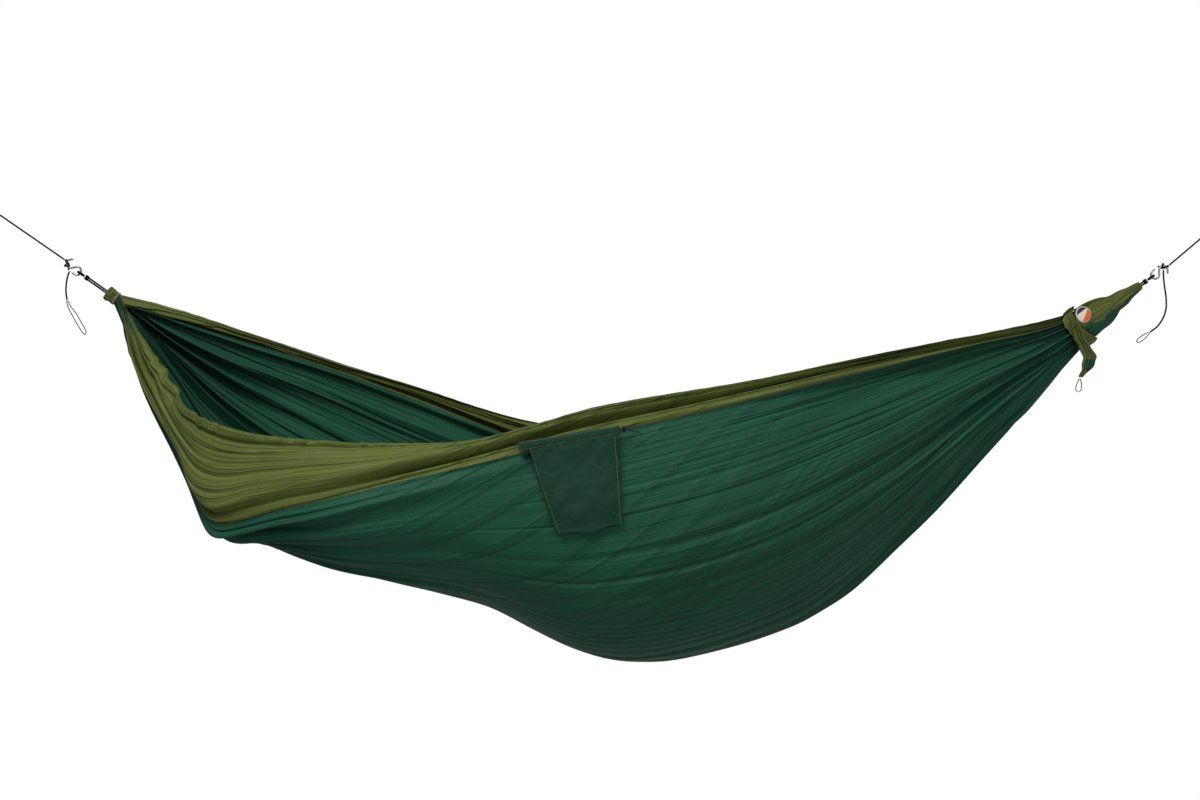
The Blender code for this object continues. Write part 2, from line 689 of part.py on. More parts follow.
def round_patch():
    """A sewn round badge that lies on the wrap's near side."""
    share, v = PATCH_PLACE
    u = wrap_u(v, share)
    along = np.linalg.norm(bed_point(u + 0.004, v) - bed_point(u - 0.004, v)) / 0.008
    mesh = bpy.data.meshes.new("round_patch")
    bm = bmesh.new()
    bmesh.ops.create_circle(bm, cap_ends=True, cap_tris=True, segments=20, radius=PATCH_RADIUS)
    bmesh.ops.subdivide_edges(bm, edges=[e for e in bm.edges if not e.is_boundary], cuts=1)
    for vert in bm.verts:
        at_v = v + across_share(u, v, vert.co.y)
        at_u = u + vert.co.x / along
        lift = WRAP_FULLNESS + CLEAR_OF_SEAM + WRAP_SHELL + TOUCH_GAP + PATCH_THICKNESS / 2
        vert.co = lifted(at_u, at_v, lift)
    bmesh.ops.recalc_face_normals(bm, faces=bm.faces)
    bm.to_mesh(mesh)
    bm.free()
    wall = add_object("round_patch", mesh, "trim").modifiers.new("wall", "SOLIDIFY")
    wall.thickness = PATCH_THICKNESS
    wall.offset = 0.0


def make_end_wrap():
    end_wrap()
    round_patch()
    twist_rows = end_twist()
    webbing_loop(end_flap(twist_rows))


# ---------------------------------------------------------------- stuff sack
SACK_ALONG = Vector((math.cos(SACK_SLOPE), 0.0, math.sin(SACK_SLOPE)))
SACK_DOWN = Vector((math.sin(SACK_SLOPE), 0.0, -math.cos(SACK_SLOPE)))


def sack_back_plane():
    """The y of the sack's back at its top, and its lean: it touches the seam and the wall below.

    The flat facets of the cloth solids lie FACET_SAG behind the smooth surface that is sampled.
    """
    lift = CLOTH_SHELL / 2 + TOUCH_GAP
    samples = []
    for i in range(61):
        for j in range(61):
            u = 0.38 + 0.24 * i / 60
            v = 1.0 * j / 60
            on_seam = abs(v - SIDE_PANEL_WIDTH) < 2 * FELL_WIDTH
            point = lifted(u, v, lift + (SEAM_LIFT + FELL_THICKNESS if on_seam else 0.0))
            offset = Vector(point) - SACK_TOP_CENTRE
            down = offset.dot(SACK_DOWN)
            if abs(offset.dot(SACK_ALONG)) < CASING_HALF_LENGTH and -0.01 < down < SACK_LENGTH:
                samples.append((down, point[1]))
    top = min(y for down, y in samples if down < CASING_HEIGHT)
    lean = min((y - top) / down for down, y in samples if down > 2 * CASING_HEIGHT)
    return top + FACET_SAG, lean


SACK_LENGTH = CASING_HEIGHT + CASING_WALL + TOUCH_GAP + POUCH_LENGTH
SACK_TOP_Y, SACK_LEAN = sack_back_plane()


def on_sack(along, down, out):
    """A point of the sack, measured outwards from its back."""
    spot = SACK_TOP_CENTRE + SACK_ALONG * along + SACK_DOWN * down
    return Vector((spot.x, SACK_TOP_Y + SACK_LEAN * down - out, spot.z))


def casing(name, middle):
    """One half of the drawcord casing: a flattened tube along the mouth, open at both ends."""
    rows = []
    count = 14
    for i in range(2):
        along = CASING_HALF_LENGTH * (2 * i - 1)
        row = []
        for j in range(count):
            angle = 2 * math.pi * j / count
            down = CASING_HEIGHT / 2 * (1 + math.cos(angle))
            row.append(on_sack(along, down, middle + CASING_DEPTH / 2 * math.sin(angle)))
        rows.append(row)
    shell(name, rows, CASING_WALL, "forest", closed=True)


def pouch():
    """The thin-walled pouch below the casing, open at its mouth and narrower at its foot."""
    top = CASING_HEIGHT + CASING_WALL / 2 + TOUCH_GAP
    count = 20
    rows = []
    for level, fullness in ((0.0, 1.0), (0.25, 1.0), (0.6, 1.0), (0.9, 0.85), (1.0, 0.5)):
        left = POUCH_MOUTH[0] + (POUCH_BOTTOM[0] - POUCH_MOUTH[0]) * level
        right = POUCH_MOUTH[1] + (POUCH_BOTTOM[1] - POUCH_MOUTH[1]) * level
        row = []
        for j in range(count):
            angle = 2 * math.pi * j / count
            wide = math.copysign(abs(math.cos(angle)) ** 0.5, math.cos(angle))
            deep = math.copysign(abs(math.sin(angle)) ** 0.5, math.sin(angle))
            along = (left + right) / 2 + (right - left) / 2 * wide
            out = POUCH_DEPTH / 2 * (1 + fullness * deep)
            row.append(on_sack(along, top + POUCH_LENGTH * level, out))
        rows.append(row)
    shell("sack_pouch", rows, POUCH_WALL, "forest", closed=True, floor=True)


def drawcord(front, back):
    """Two strands inside the casing, the knot that joins them and two short tails."""
    middle = CASING_HEIGHT / 2
    from_wall = CASING_DEPTH / 2 - CASING_WALL / 2 - DRAWCORD_DIAMETER / 2 - DRAWCORD_SLACK
    front -= from_wall
    back -= from_wall
    end = CASING_HALF_LENGTH + DRAWCORD_SHOWING
    for name, out in (("drawcord", front), ("drawcord_second", back)):
        inside = on_sack(CASING_HALF_LENGTH - DRAWCORD_INSIDE, middle, out)
        outside = on_sack(end, middle, out)
        tube(name, [inside.lerp(outside, i / 12) for i in range(13)], DRAWCORD_DIAMETER, "rope")
    strand = DRAWCORD_DIAMETER / 2
    knot_half_depth = DRAWCORD_KNOT_RADIUS * DRAWCORD_KNOT_SPREAD
    reach = (abs(front - back) / 2 - strand) / knot_half_depth
    knot_along = end + DRAWCORD_KNOT_RADIUS * math.sqrt(1 - reach**2) + TOUCH_GAP
    centre = on_sack(knot_along, middle, (front + back) / 2)
    ball("drawcord_knot", centre, DRAWCORD_KNOT_RADIUS, DRAWCORD_KNOT_SPREAD, "rope")
    apart = DRAWCORD_TAIL_APART
    start = knot_along + math.sqrt(DRAWCORD_KNOT_RADIUS**2 - (apart - strand) ** 2) + TOUCH_GAP
    for name, side, drop in (("drawcord_tail", -1, 0.1), ("drawcord_tail_second", 1, 0.4)):
        points = []
        for i in range(6):
            out = DRAWCORD_TAIL * i / 5
            down = middle + side * apart + side * drop * out
            points.append(on_sack(start + out, down, (front + back) / 2))
        tube(name, points, DRAWCORD_DIAMETER, "rope")


def make_sack():
    back = CASING_DEPTH / 2 + CASING_WALL / 2
    casing("sack_casing_back", back)
    casing("sack_casing_front", back + CASING_SPACING)
    pouch()
    drawcord(back + CASING_SPACING, back)


# ---------------------------------------------------------------- the whole hammock
clear_scene()
collection = bpy.data.collections.new("travel_hammock")
bpy.context.scene.collection.children.link(collection)
make_bed()
for side_name, eye_point, channel_point in (
    ("left", LEFT_EYE, LEFT_CHANNEL), ("right", RIGHT_EYE, RIGHT_CHANNEL),
):
    end_channel(f"{side_name}_end_channel", channel_point, (channel_point - eye_point).normalized())
    end_loop(f"{side_name}_end_loop", eye_point, channel_point)
make_suspension()
make_tails()
make_end_wrap()
make_sack()
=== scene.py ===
"""Looks of the travel hammock: pleated nylon bed, braided ropes, steel hooks, tied end wrap, stuff sack.

Metres, +Z up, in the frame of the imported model. The bed's guide rails and the cord routes repeat the
CAD's own values.
"""

import math

import bpy
import numpy as np
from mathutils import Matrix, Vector


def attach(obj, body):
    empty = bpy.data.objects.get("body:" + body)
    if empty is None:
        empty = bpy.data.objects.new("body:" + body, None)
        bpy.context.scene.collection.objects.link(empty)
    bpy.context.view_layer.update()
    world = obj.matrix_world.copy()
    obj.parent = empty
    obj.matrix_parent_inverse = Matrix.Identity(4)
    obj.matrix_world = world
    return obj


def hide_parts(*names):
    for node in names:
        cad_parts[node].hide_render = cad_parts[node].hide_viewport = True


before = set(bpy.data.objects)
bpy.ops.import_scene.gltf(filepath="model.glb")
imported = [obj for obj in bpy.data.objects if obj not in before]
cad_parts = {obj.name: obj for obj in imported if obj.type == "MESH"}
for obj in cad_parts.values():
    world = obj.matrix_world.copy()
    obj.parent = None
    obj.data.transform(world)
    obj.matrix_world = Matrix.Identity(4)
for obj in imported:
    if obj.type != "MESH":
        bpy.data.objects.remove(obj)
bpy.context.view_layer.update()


# ---------------------------------------------------------------- camera, lights, surround
# A long lens square to the hammock, an evenly white surround, one broad key from above in front
# and a weaker fill from the right.
def camera():
    data = bpy.data.cameras.new("camera")
    data.lens = 100.0
    data.sensor_width = 36.0
    made = bpy.data.objects.new("camera", data)
    made.location = (1.536, -8.0, -0.51)
    made.rotation_euler = (math.pi / 2, 0.0, 0.0)
    bpy.context.scene.collection.objects.link(made)
    bpy.context.scene.camera = made


def area_light(name, place, target, size, power):
    data = bpy.data.lights.new(name, "AREA")
    data.size = size
    data.energy = power
    made = bpy.data.objects.new(name, data)
    made.location = place
    aim = Vector(target) - Vector(place)
    made.rotation_euler = aim.to_track_quat("-Z", "Y").to_euler()
    bpy.context.scene.collection.objects.link(made)


def surround(ambient):
    """White to the camera, a weaker grey to everything else."""
    world = bpy.data.worlds.new("surround")
    bpy.context.scene.world = world
    world.use_nodes = True
    tree = world.node_tree
    back = tree.nodes["Background"]
    seen = tree.nodes.new("ShaderNodeLightPath")
    level = tree.nodes.new("ShaderNodeMapRange")
    level.inputs["To Min"].default_value = ambient
    level.inputs["To Max"].default_value = 1.0
    tree.links.new(seen.outputs["Is Camera Ray"], level.inputs["Value"])
    tree.links.new(level.outputs["Result"], back.inputs["Strength"])
    back.inputs["Color"].default_value = (1.0, 1.0, 1.0, 1.0)


bpy.context.scene.view_settings.view_transform = "Standard"
camera()
surround(ambient=0.38)
area_light("key", (0.4, -2.6, 2.4), (1.5, 0.0, -0.6), 1.6, 120.0)
area_light("fill", (3.6, -3.2, 0.3), (2.0, 0.0, -0.6), 1.8, 40.0)


# ---------------------------------------------------------------- S-hooks
# One at each end: drawn steel wire bent into two round bends of 10 mm, with a short turned-in keeper
# on the lower one. The rope is tied on the upper bend and the end cord's eye hangs in the lower one.
WIRE = 0.005
BEND = 0.010
STEM = 0.011
TIP = 0.009
KEEPER = 0.009
KEEPER_ANGLE = math.radians(135.0)
UPPER = (2 * BEND, STEM)
LEFT_EYE = np.array((0.289, 0.0, -0.206))
RIGHT_EYE = np.array((2.860, 0.0, -0.215))
LEFT_CHANNEL = np.array((0.368, 0.0, -0.262))
RIGHT_CHANNEL = np.array((2.783, 0.0, -0.270))
LEFT_TURN = math.radians(103.0)
RIGHT_TURN = 0.0
ACROSS = np.array((0.0, 1.0, 0.0))


class Sock:
    """A shader value that can be used in sums; call() adds any other node."""

    def __init__(self, tree, socket):
        self.tree = tree
        self.socket = socket

    def call(self, kind, output=0, settings=None, **inputs):
        node = self.tree.nodes.new(kind)
        for key, value in (settings or {}).items():
            setattr(node, key, value)
        for key, value in inputs.items():
            spot = node.inputs[int(key[1:])] if key[1:].isdigit() else node.inputs[key.replace("_", " ")]
            if isinstance(value, Sock):
                self.tree.links.new(value.socket, spot)
            else:
                spot.default_value = value
        return Sock(self.tree, node.outputs[output])

    def math(self, operation, other=0.0):
        return self.call("ShaderNodeMath", settings={"operation": operation}, i0=self, i1=other)

    def __add__(self, other):
        return self.math("ADD", other)

    def __sub__(self, other):
        return self.math("SUBTRACT", other)

    def __mul__(self, other):
        return self.math("MULTIPLY", other)

    def __rsub__(self, other):
        return self * -1.0 + other

    __radd__ = __add__
    __rmul__ = __mul__

    def sin(self):
        return self.math("SINE")

    def maximum(self, other):
        return self.math("MAXIMUM", other)

    def minimum(self, other):
        return self.math("MINIMUM", other)

    def fade(self, start, end):
        """0 at start, 1 at end."""
        return ((self - start) * (1 / (end - start))).maximum(0.0).minimum(1.0)


class Finish:
    """One Principled material, with its coordinate in metres along and across the piece."""

    def __init__(self, name, roughness, metallic=0.0, **fixed):
        self.material = bpy.data.materials.new(name)
        self.material.use_nodes = True
        self.tree = self.material.node_tree
        self.shader = self.tree.nodes["Principled BSDF"]
        self.shader.inputs["Roughness"].default_value = roughness
        self.shader.inputs["Metallic"].default_value = metallic
        for key, value in fixed.items():
            self.shader.inputs[key.replace("_", " ")].default_value = value
        start = Sock(self.tree, None)
        self.uv = start.call("ShaderNodeUVMap", settings={"uv_map": "metres"})
        self.place = start.call("ShaderNodeTexCoord", output="Object")
        self.along = self.uv.call("ShaderNodeSeparateXYZ", output=0, i0=self.uv)
        self.across = self.uv.call("ShaderNodeSeparateXYZ", output=1, i0=self.uv)

    def noise(self, scale, detail=3.0, where=None):
        return self.uv.call("ShaderNodeTexNoise", Vector=where or self.place, Scale=scale, Detail=detail)

    def pulled_lines(self, spacing, slant, seed):
        """Thin creases along the cloth, leaning across it by a slant."""
        leaning = self.across + self.along * slant
        where = self.uv.call("ShaderNodeCombineXYZ", i0=self.along * 0.02, i1=leaning, i2=seed * spacing)
        wave = self.noise(1 / spacing, 1.0, where)
        return (1.0 - (wave - 0.5).math("ABSOLUTE") * 14.0).maximum(0.0)

    def mix(self, first, second, factor):
        ends = [value if isinstance(value, Sock) else (*value, 1.0) for value in (first, second)]
        return factor.call(
            "ShaderNodeMix", output=2, settings={"data_type": "RGBA"}, i0=factor, i6=ends[0], i7=ends[1]
        )

    def colour(self, dark, light, factor):
        made = self.mix(dark, light, factor)
        self.tree.links.new(made.socket, self.shader.inputs["Base Color"])

    def rough(self, value):
        self.tree.links.new(value.socket, self.shader.inputs["Roughness"])

    def bump(self, height, distance, strength=1.0):
        made = height.call("ShaderNodeBump", Height=height, Distance=distance, Strength=strength)
        self.tree.links.new(made.socket, self.shader.inputs["Normal"])


def steel_finish(name):
    """Drawn wire: fine lines along the wire and a few soft smudges."""
    made = Finish(name, 0.3, metallic=1.0)
    lines = made.noise(900.0, 2.0)
    smudges = made.noise(120.0, 3.0)
    made.colour((0.17, 0.17, 0.175), (0.34, 0.34, 0.35), smudges)
    made.rough(smudges * 0.25 + lines * 0.1 + 0.14)
    made.bump(lines, 0.00008)
    return made.material


def grid_mesh(name, points, uv, material, closed=False):
    """A mesh through a rows x columns grid of points, with its coordinates in metres."""
    rows, columns = points.shape[:2]
    last = columns if closed else columns - 1
    i = np.arange(rows - 1)[:, None]
    j = np.arange(last)[None, :]
    k = (j + 1) % columns
    corners = np.stack(
        (i * columns + j, i * columns + k, (i + 1) * columns + k, (i + 1) * columns + j), axis=-1
    ).reshape(-1, 4)
    mesh = bpy.data.meshes.new(name)
    mesh.vertices.add(rows * columns)
    mesh.vertices.foreach_set("co", points.reshape(-1).astype("f"))
    mesh.loops.add(corners.size)
    mesh.loops.foreach_set("vertex_index", corners.reshape(-1).astype("i"))
    mesh.polygons.add(len(corners))
    mesh.polygons.foreach_set("loop_start", np.arange(0, corners.size, 4, dtype="i"))
    mesh.update(calc_edges=True)
    layer = mesh.uv_layers.new(name="metres")
    spots = uv.reshape(-1, 2)[corners.reshape(-1)].copy()
    if closed:
        wrap = uv[0, 1, 1] - uv[0, 0, 1]
        seam = np.tile(np.arange(last) == last - 1, rows - 1)
        marked = spots.reshape(-1, 4, 2)
        marked[seam, 1:3, 1] += wrap * columns
    layer.data.foreach_set("uv", spots.reshape(-1).astype("f"))
    mesh.shade_smooth()
    mesh.materials.append(material)
    made = bpy.data.objects.new(name, mesh)
    bpy.context.scene.collection.objects.link(made)
    return made


def lengths_of(points):
    """Running length at each point."""
    steps = np.linalg.norm(np.diff(points, axis=0), axis=1)
    return np.concatenate(([0.0], np.cumsum(steps)))


def spline(points, knots, at):
    """Catmull-Rom through points (knots, samples, 3) at one knot value for each sample."""
    points = np.asarray(points, dtype=float)
    knots = np.asarray(knots, dtype=float)
    at = np.asarray(at, dtype=float)
    if points.ndim == 2:
        points = np.repeat(points[:, None], len(at), axis=1)
    slopes = np.gradient(points, knots, axis=0)
    place = np.clip(np.searchsorted(knots, at) - 1, 0, len(knots) - 2)
    span = (knots[place + 1] - knots[place])[:, None]
    t = (at[:, None] - knots[place][:, None]) / span
    pick = np.arange(len(at))
    blend = 3 * t**2 - 2 * t**3
    start = (1 - blend) * points[place, pick] + (t**3 - 2 * t**2 + t) * span * slopes[place, pick]
    end = blend * points[place + 1, pick] + (t**3 - t**2) * span * slopes[place + 1, pick]
    return start + end


def even_route(route, step):
    """Points one step apart on a smooth curve through a route."""
    route = np.asarray(route, dtype=float)
    knots = lengths_of(route)
    fine = spline(route, knots, np.linspace(0.0, knots[-1], 400))
    run = lengths_of(fine)
    count = max(4, int(round(run[-1] / step)))
    at = np.linspace(0.0, run[-1], count + 1)
    return np.stack([np.interp(at, run, fine[:, axis]) for axis in range(3)], axis=-1)


def frames_along(points, closed=False):
    """Tangent and two side directions at each point, carried along without twist."""
    tangent = np.gradient(points, axis=0)
    if closed:
        tangent = np.roll(points, -1, axis=0) - np.roll(points, 1, axis=0)
    tangent /= np.linalg.norm(tangent, axis=1)[:, None]
    side = np.zeros_like(points)
    start = np.cross(tangent[0], (0.0, 1.0, 0.02))
    side[0] = start / np.linalg.norm(start)
    for i in range(1, len(points)):
        carried = side[i - 1] - tangent[i] * side[i - 1].dot(tangent[i])
        side[i] = carried / np.linalg.norm(carried)
    return tangent, side, np.cross(tangent, side)


def rod(name, points, radius, material, sides=16, braid=0.0, closed=False):
    """A round bar or braided cord along points, with domed ends."""
    tangent, side, other = frames_along(points, closed)
    along = lengths_of(points)
    angle = np.arange(sides) * math.tau / sides
    share = np.ones(len(points))
    if not closed:
        from_end = np.minimum(along, along[-1] - along)
        share = np.sqrt(np.clip(1 - (1 - np.clip(from_end / radius, 0.0, 1.0)) ** 2, 0.0, 1.0))
        share = np.maximum(share, 0.02)
    pitch = radius * 1.8
    phase = along[:, None] / pitch * math.tau
    strands = np.maximum(np.sin(phase + 3 * angle), np.sin(phase - 3 * angle))
    reach = radius * share[:, None] * (1 + braid * (strands - 0.6))
    ring = side[:, None] * np.cos(angle)[None, :, None] + other[:, None] * np.sin(angle)[None, :, None]
    spots = points[:, None] + ring * reach[..., None]
    uv = np.stack(np.broadcast_arrays(along[:, None], angle[None, :] / math.tau), axis=-1)
    if closed:
        spots = np.concatenate((spots, spots[:1]))
        uv = np.concatenate((uv, uv[:1]))
    return grid_mesh(name, spots[:, ::-1], uv[:, ::-1], material, closed=True)


def unit(vector):
    vector = np.asarray(vector, dtype=float)
    return vector / np.linalg.norm(vector)


def finish_piece(piece, body, slot, *nodes):
    """Hand a piece over: attach it to its body and hide the model nodes that it stands for. The slot is not
    used.
    """
    if nodes:
        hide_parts(*nodes)
    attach(piece, body)
    return piece


def in_plane(bend_centre, turn, point, y=0.0):
    """A point of the hook's own plane, turned and moved to its place."""
    a = point[0] * math.cos(turn) - point[1] * math.sin(turn)
    b = point[0] * math.sin(turn) + point[1] * math.cos(turn)
    return np.array((bend_centre[0] + a, bend_centre[1] + y, bend_centre[2] + b))


def arc(centre, start, end, count):
    angles = np.linspace(start, end, count)
    return [(centre[0] + BEND * math.cos(a), centre[1] + BEND * math.sin(a)) for a in angles]


def hook_centre(eye, channel):
    """Middle of the lower bend, up the pull from where the eye bears on it."""
    return eye - unit(channel - eye) * BEND


def hook(name, centre, turn):
    """Keeper, lower bend, stem, upper bend and tip, as one wire."""
    keeper = (
        BEND * math.cos(KEEPER_ANGLE) + KEEPER * math.sin(KEEPER_ANGLE),
        BEND * math.sin(KEEPER_ANGLE) - KEEPER * math.cos(KEEPER_ANGLE),
    )
    outline = [
        keeper, *arc((0.0, 0.0), KEEPER_ANGLE, math.tau, 20), *arc(UPPER, math.pi, 0.0, 16),
        (UPPER[0] + BEND, UPPER[1] - TIP),
    ]
    points = even_route([in_plane(centre, turn, point) for point in outline], 0.0009)
    return rod(name, points, WIRE / 2, STEEL, sides=20)


STEEL = steel_finish("steel_wire")
SIDES = (
    ("left", LEFT_EYE, LEFT_CHANNEL, LEFT_TURN),
    ("right", RIGHT_EYE, RIGHT_CHANNEL, RIGHT_TURN),
)
for side, eye, channel, turn in SIDES:
    wire_hook = hook(f"{side}_hook_wire", hook_centre(eye, channel), turn)
    finish_piece(wire_hook, "suspension", "steel", f"{side}_s_hook")


# ---------------------------------------------------------------- ropes
# A navy braided rope runs from each hook towards its tree: tied round the upper bend by a hitch of
# two turns, pulled straight, and knotted into a small loop at the tree.
ROPE = 0.0044
GAP = 0.0004
LEFT_ANCHOR = np.array((0.0, 0.0, 0.0))
RIGHT_ANCHOR = np.array((3.041, 0.0, -0.069))
HITCH_RADIUS = (WIRE + ROPE) / 2 + GAP
HITCH_TURNS = 2.15
HITCH_ARC = math.radians(118.0)
TREE_LOOP = 0.062
TREE_LOOP_HALF_WIDTH = 0.012
TREE_LOOP_MOUTH = 0.288
TREE_KNOT = 0.009


def braid_finish(name, dark, light, diameter):
    """Braided cord: crossing diagonal strands along the cord and fine fibres, with painted shade darkening
    the base colour in the grooves between the strands.
    """
    made = Finish(name, 0.68, Specular_IOR_Level=0.12)
    slope = math.tau / (diameter * 0.9)
    turn = made.across * (math.tau * 6.0)
    strands = (made.along * slope + turn).sin().maximum((made.along * slope - turn).sin())
    fibres = made.noise(1500.0)
    # Painted shade: the base colour follows the strand pattern of the bump, darker in the grooves between
    # strands; the fibres vary its tone at random.
    made.colour(dark, light, strands * 0.4 + fibres * 0.5)
    made.bump(strands * 0.6 + fibres * 0.4, 0.0004)
    return made.material


def cord_piece(name, points, diameter, material):
    """A braided cord with points close enough for its strands to show."""
    return rod(name, even_route(points, diameter / 4.5), diameter / 2, material, braid=0.07)


def tight_knot(name, centre, pull, radius, diameter, material):
    """An overhand knot pulled tight: a small trefoil seen along the pull."""
    angle = np.linspace(0.0, math.tau, 140, endpoint=False)
    size = (radius - diameter / 2) / 3.0
    local = np.stack(
        (
            np.sin(3 * angle) * 1.3,
            np.sin(angle) + 2 * np.sin(2 * angle),
            np.cos(angle) - 2 * np.cos(2 * angle),
        ),
        axis=-1,
    ) * size
    pull = unit(pull)
    up = unit(np.cross(pull, (0.0, 1.0, 0.0)))
    points = centre + local @ np.array((pull, (0.0, 1.0, 0.0), up))
    return rod(name, points, diameter / 2 * 0.92, material, braid=0.07, closed=True)


def declare_cord(node, name, route, diameter, body):
    points = even_route(route, diameter / 4.5)
    made = rod(name, points, diameter / 2, NAVY, braid=0.07)
    finish_piece(made, body, "rope", node)
    return made


def hitch(name, centre, turn):
    """The rope wound round the upper bend's wire."""
    share = np.linspace(0.0, 1.0, 120)
    points = []
    for s in share:
        along = math.pi / 2 + HITCH_ARC * (0.5 - s)
        around = math.tau * HITCH_TURNS * s
        reach = BEND + HITCH_RADIUS * math.cos(around)
        spot = (UPPER[0] + reach * math.cos(along), UPPER[1] + reach * math.sin(along))
        points.append(in_plane(centre, turn, spot, HITCH_RADIUS * math.sin(around)))
    return cord_piece(name, points, ROPE, NAVY)


def rope_run(start, end):
    """Even points on a straight rope, about 20 mm apart."""
    count = int(np.linalg.norm(end - start) / 0.02) + 2
    return [start + (end - start) * i / count for i in range(count + 1)]


def main_rope(side, anchor, hook_middle, turn):
    """The hitch, the straight rope from it, the tree knot and the loop beyond the knot."""
    tied = hitch(f"{side}_hitch_rope", hook_middle, turn)
    finish_piece(tied, "suspension", "rope", f"{side}_hitch")
    upper = in_plane(hook_middle, turn, UPPER)
    to_tree = unit(anchor - upper)
    knot_centre = anchor - to_tree * TREE_LOOP
    start = upper + to_tree * (BEND + HITCH_RADIUS + ROPE / 2 + GAP)
    end = knot_centre - to_tree * (TREE_KNOT + GAP)
    straight = cord_piece(f"{side}_main_rope", rope_run(start, end), ROPE, NAVY)
    knot = tight_knot(f"{side}_tree_knot_rope", knot_centre, to_tree, TREE_KNOT, ROPE, NAVY)
    finish_piece(knot, "tree_ends", "rope", f"{side}_tree_knot")
    finish_piece(straight, "suspension", "rope", f"{side}_rope")
    float(np.linalg.norm(end - start))
    loop_points = []
    beside = np.array((to_tree[2], 0.0, -to_tree[0]))
    for i in range(25):
        angle = TREE_LOOP_MOUTH + (math.tau - 2 * TREE_LOOP_MOUTH) * i / 24
        loop_points.append(
            knot_centre + to_tree * TREE_LOOP * math.sin(angle / 2)
            + beside * TREE_LOOP_HALF_WIDTH * math.sin(angle)
        )
    declare_cord(f"{side}_tree_loop", f"{side}_tree_eye", loop_points, ROPE, "tree_ends")


NAVY = braid_finish("navy_rope", (0.004, 0.006, 0.014), (0.016, 0.026, 0.055), ROPE)
for (side, eye, channel, turn), anchor in zip(SIDES, (LEFT_ANCHOR, RIGHT_ANCHOR)):
    main_rope(side, anchor, hook_centre(eye, channel), turn)


# ---------------------------------------------------------------- rope tails
# The free end of each rope hangs from its hitch and ends in a narrow loop of a thinner cord.
THIN_CORD = 0.0024
LEFT_TAIL = (
    (0.2626, 0.0, -0.2009), (0.2575, 0.0, -0.2170), (0.2548, 0.0, -0.2350), (0.2545, 0.0, -0.2520),
    (0.2570, 0.0, -0.2705),
)
LEFT_TAIL_LOOP = (
    (0.2557, 0.0, -0.2711), (0.2585, 0.0, -0.2850), (0.2670, 0.0, -0.3020), (0.2770, 0.0, -0.3210),
    (0.2880, 0.0, -0.3390), (0.2955, 0.0, -0.3500), (0.3005, 0.0, -0.3525), (0.3025, 0.0, -0.3480),
    (0.2985, 0.0, -0.3370), (0.2890, 0.0, -0.3200), (0.2780, 0.0, -0.3010), (0.2655, 0.0, -0.2850),
    (0.2584, 0.0, -0.2707),
)
RIGHT_TAIL = (
    (2.8881, 0.0, -0.1969), (2.8885, 0.0, -0.2140), (2.8905, 0.0, -0.2350), (2.8945, 0.0, -0.2650),
    (2.8945, 0.0, -0.2900), (2.8875, 0.0, -0.3130), (2.8740, 0.0, -0.3330), (2.8550, 0.0, -0.3480),
)
RIGHT_TAIL_LOOP = (
    (2.8538, 0.0, -0.3472), (2.8440, 0.0, -0.3515), (2.8340, 0.0, -0.3580), (2.8260, 0.0, -0.3650),
    (2.8243, 0.0, -0.3695), (2.8270, 0.0, -0.3720), (2.8320, 0.0, -0.3705), (2.8420, 0.0, -0.3640),
    (2.8500, 0.0, -0.3560), (2.8556, 0.0, -0.3494),
)
for node, name, route, diameter in (
    ("left_tail", "left_tail_rope", LEFT_TAIL, ROPE),
    ("left_tail_loop", "left_tail_eye", LEFT_TAIL_LOOP, THIN_CORD),
    ("right_tail", "right_tail_rope", RIGHT_TAIL, ROPE),
    ("right_tail_loop", "right_tail_eye", RIGHT_TAIL_LOOP, THIN_CORD),
):
    declare_cord(node, name, route, diameter, node.replace("_loop", ""))


# ---------------------------------------------------------------- end cords
# A black cord carries each end of the bed: an eye round the hook's wire, and two strands side by side,
# whipped together behind the eye, that run into the sewn channel.
END_CORD = 0.0046
EYE_RING = 0.0076
EYE_ROPE = 0.0031
EYE_SLACK = EYE_RING - EYE_ROPE - WIRE / 2 - GAP
WHIPPING_TURNS = 5
WHIPPING_THREAD = 0.0009
CHANNEL_LENGTH = 0.024


def eye_ring(name, eye, bend_centre):
    """The cord's eye: a thick ring round the wire, whipped where its two strands meet."""
    pull = unit(eye - bend_centre)
    centre = eye + pull * EYE_SLACK
    angle = np.linspace(0.0, math.tau, 90, endpoint=False)
    points = centre + EYE_RING * (np.cos(angle)[:, None] * pull + np.sin(angle)[:, None] * ACROSS)
    return rod(name, points, EYE_ROPE, CORD, braid=0.07, closed=True)


def end_cords(side, eye, channel):
    """Two strands side by side from the eye knot into the bore, whipped together behind the eye."""
    pull = unit(channel - eye)
    beside = np.array((-pull[2], 0.0, pull[0])) * (END_CORD / 2 + 0.0002)
    start = eye + pull * (EYE_SLACK + EYE_RING + EYE_ROPE + GAP)
    end = channel + pull * (CHANNEL_LENGTH / 2 - 2 * GAP)
    for number, lean in ((1, -1), (2, 1)):
        route = [start + (end - start) * i / 4 + beside * lean for i in range(5)]
        strand = cord_piece(f"{side}_strand_{number}", route, END_CORD, CORD)
        node = f"{side}_end_loop" if number == 1 else f"{side}_end_loop_second"
        finish_piece(strand, "bed", "rope", node)
    turns = np.linspace(0.0, 1.0, 200)
    angle = turns * math.tau * WHIPPING_TURNS
    up = np.array((-pull[2], 0.0, pull[0]))
    spoke = up * np.cos(angle)[:, None] * 1.75 + np.array((0.0, 1.0, 0.0)) * np.sin(angle)[:, None]
    points = start + pull * (0.002 + 0.0085 * turns[:, None]) + spoke * (END_CORD / 2 + WHIPPING_THREAD)
    whipping = rod(f"{side}_whipping", points, WHIPPING_THREAD, CORD, sides=8)
    finish_piece(whipping, "bed", "rope")


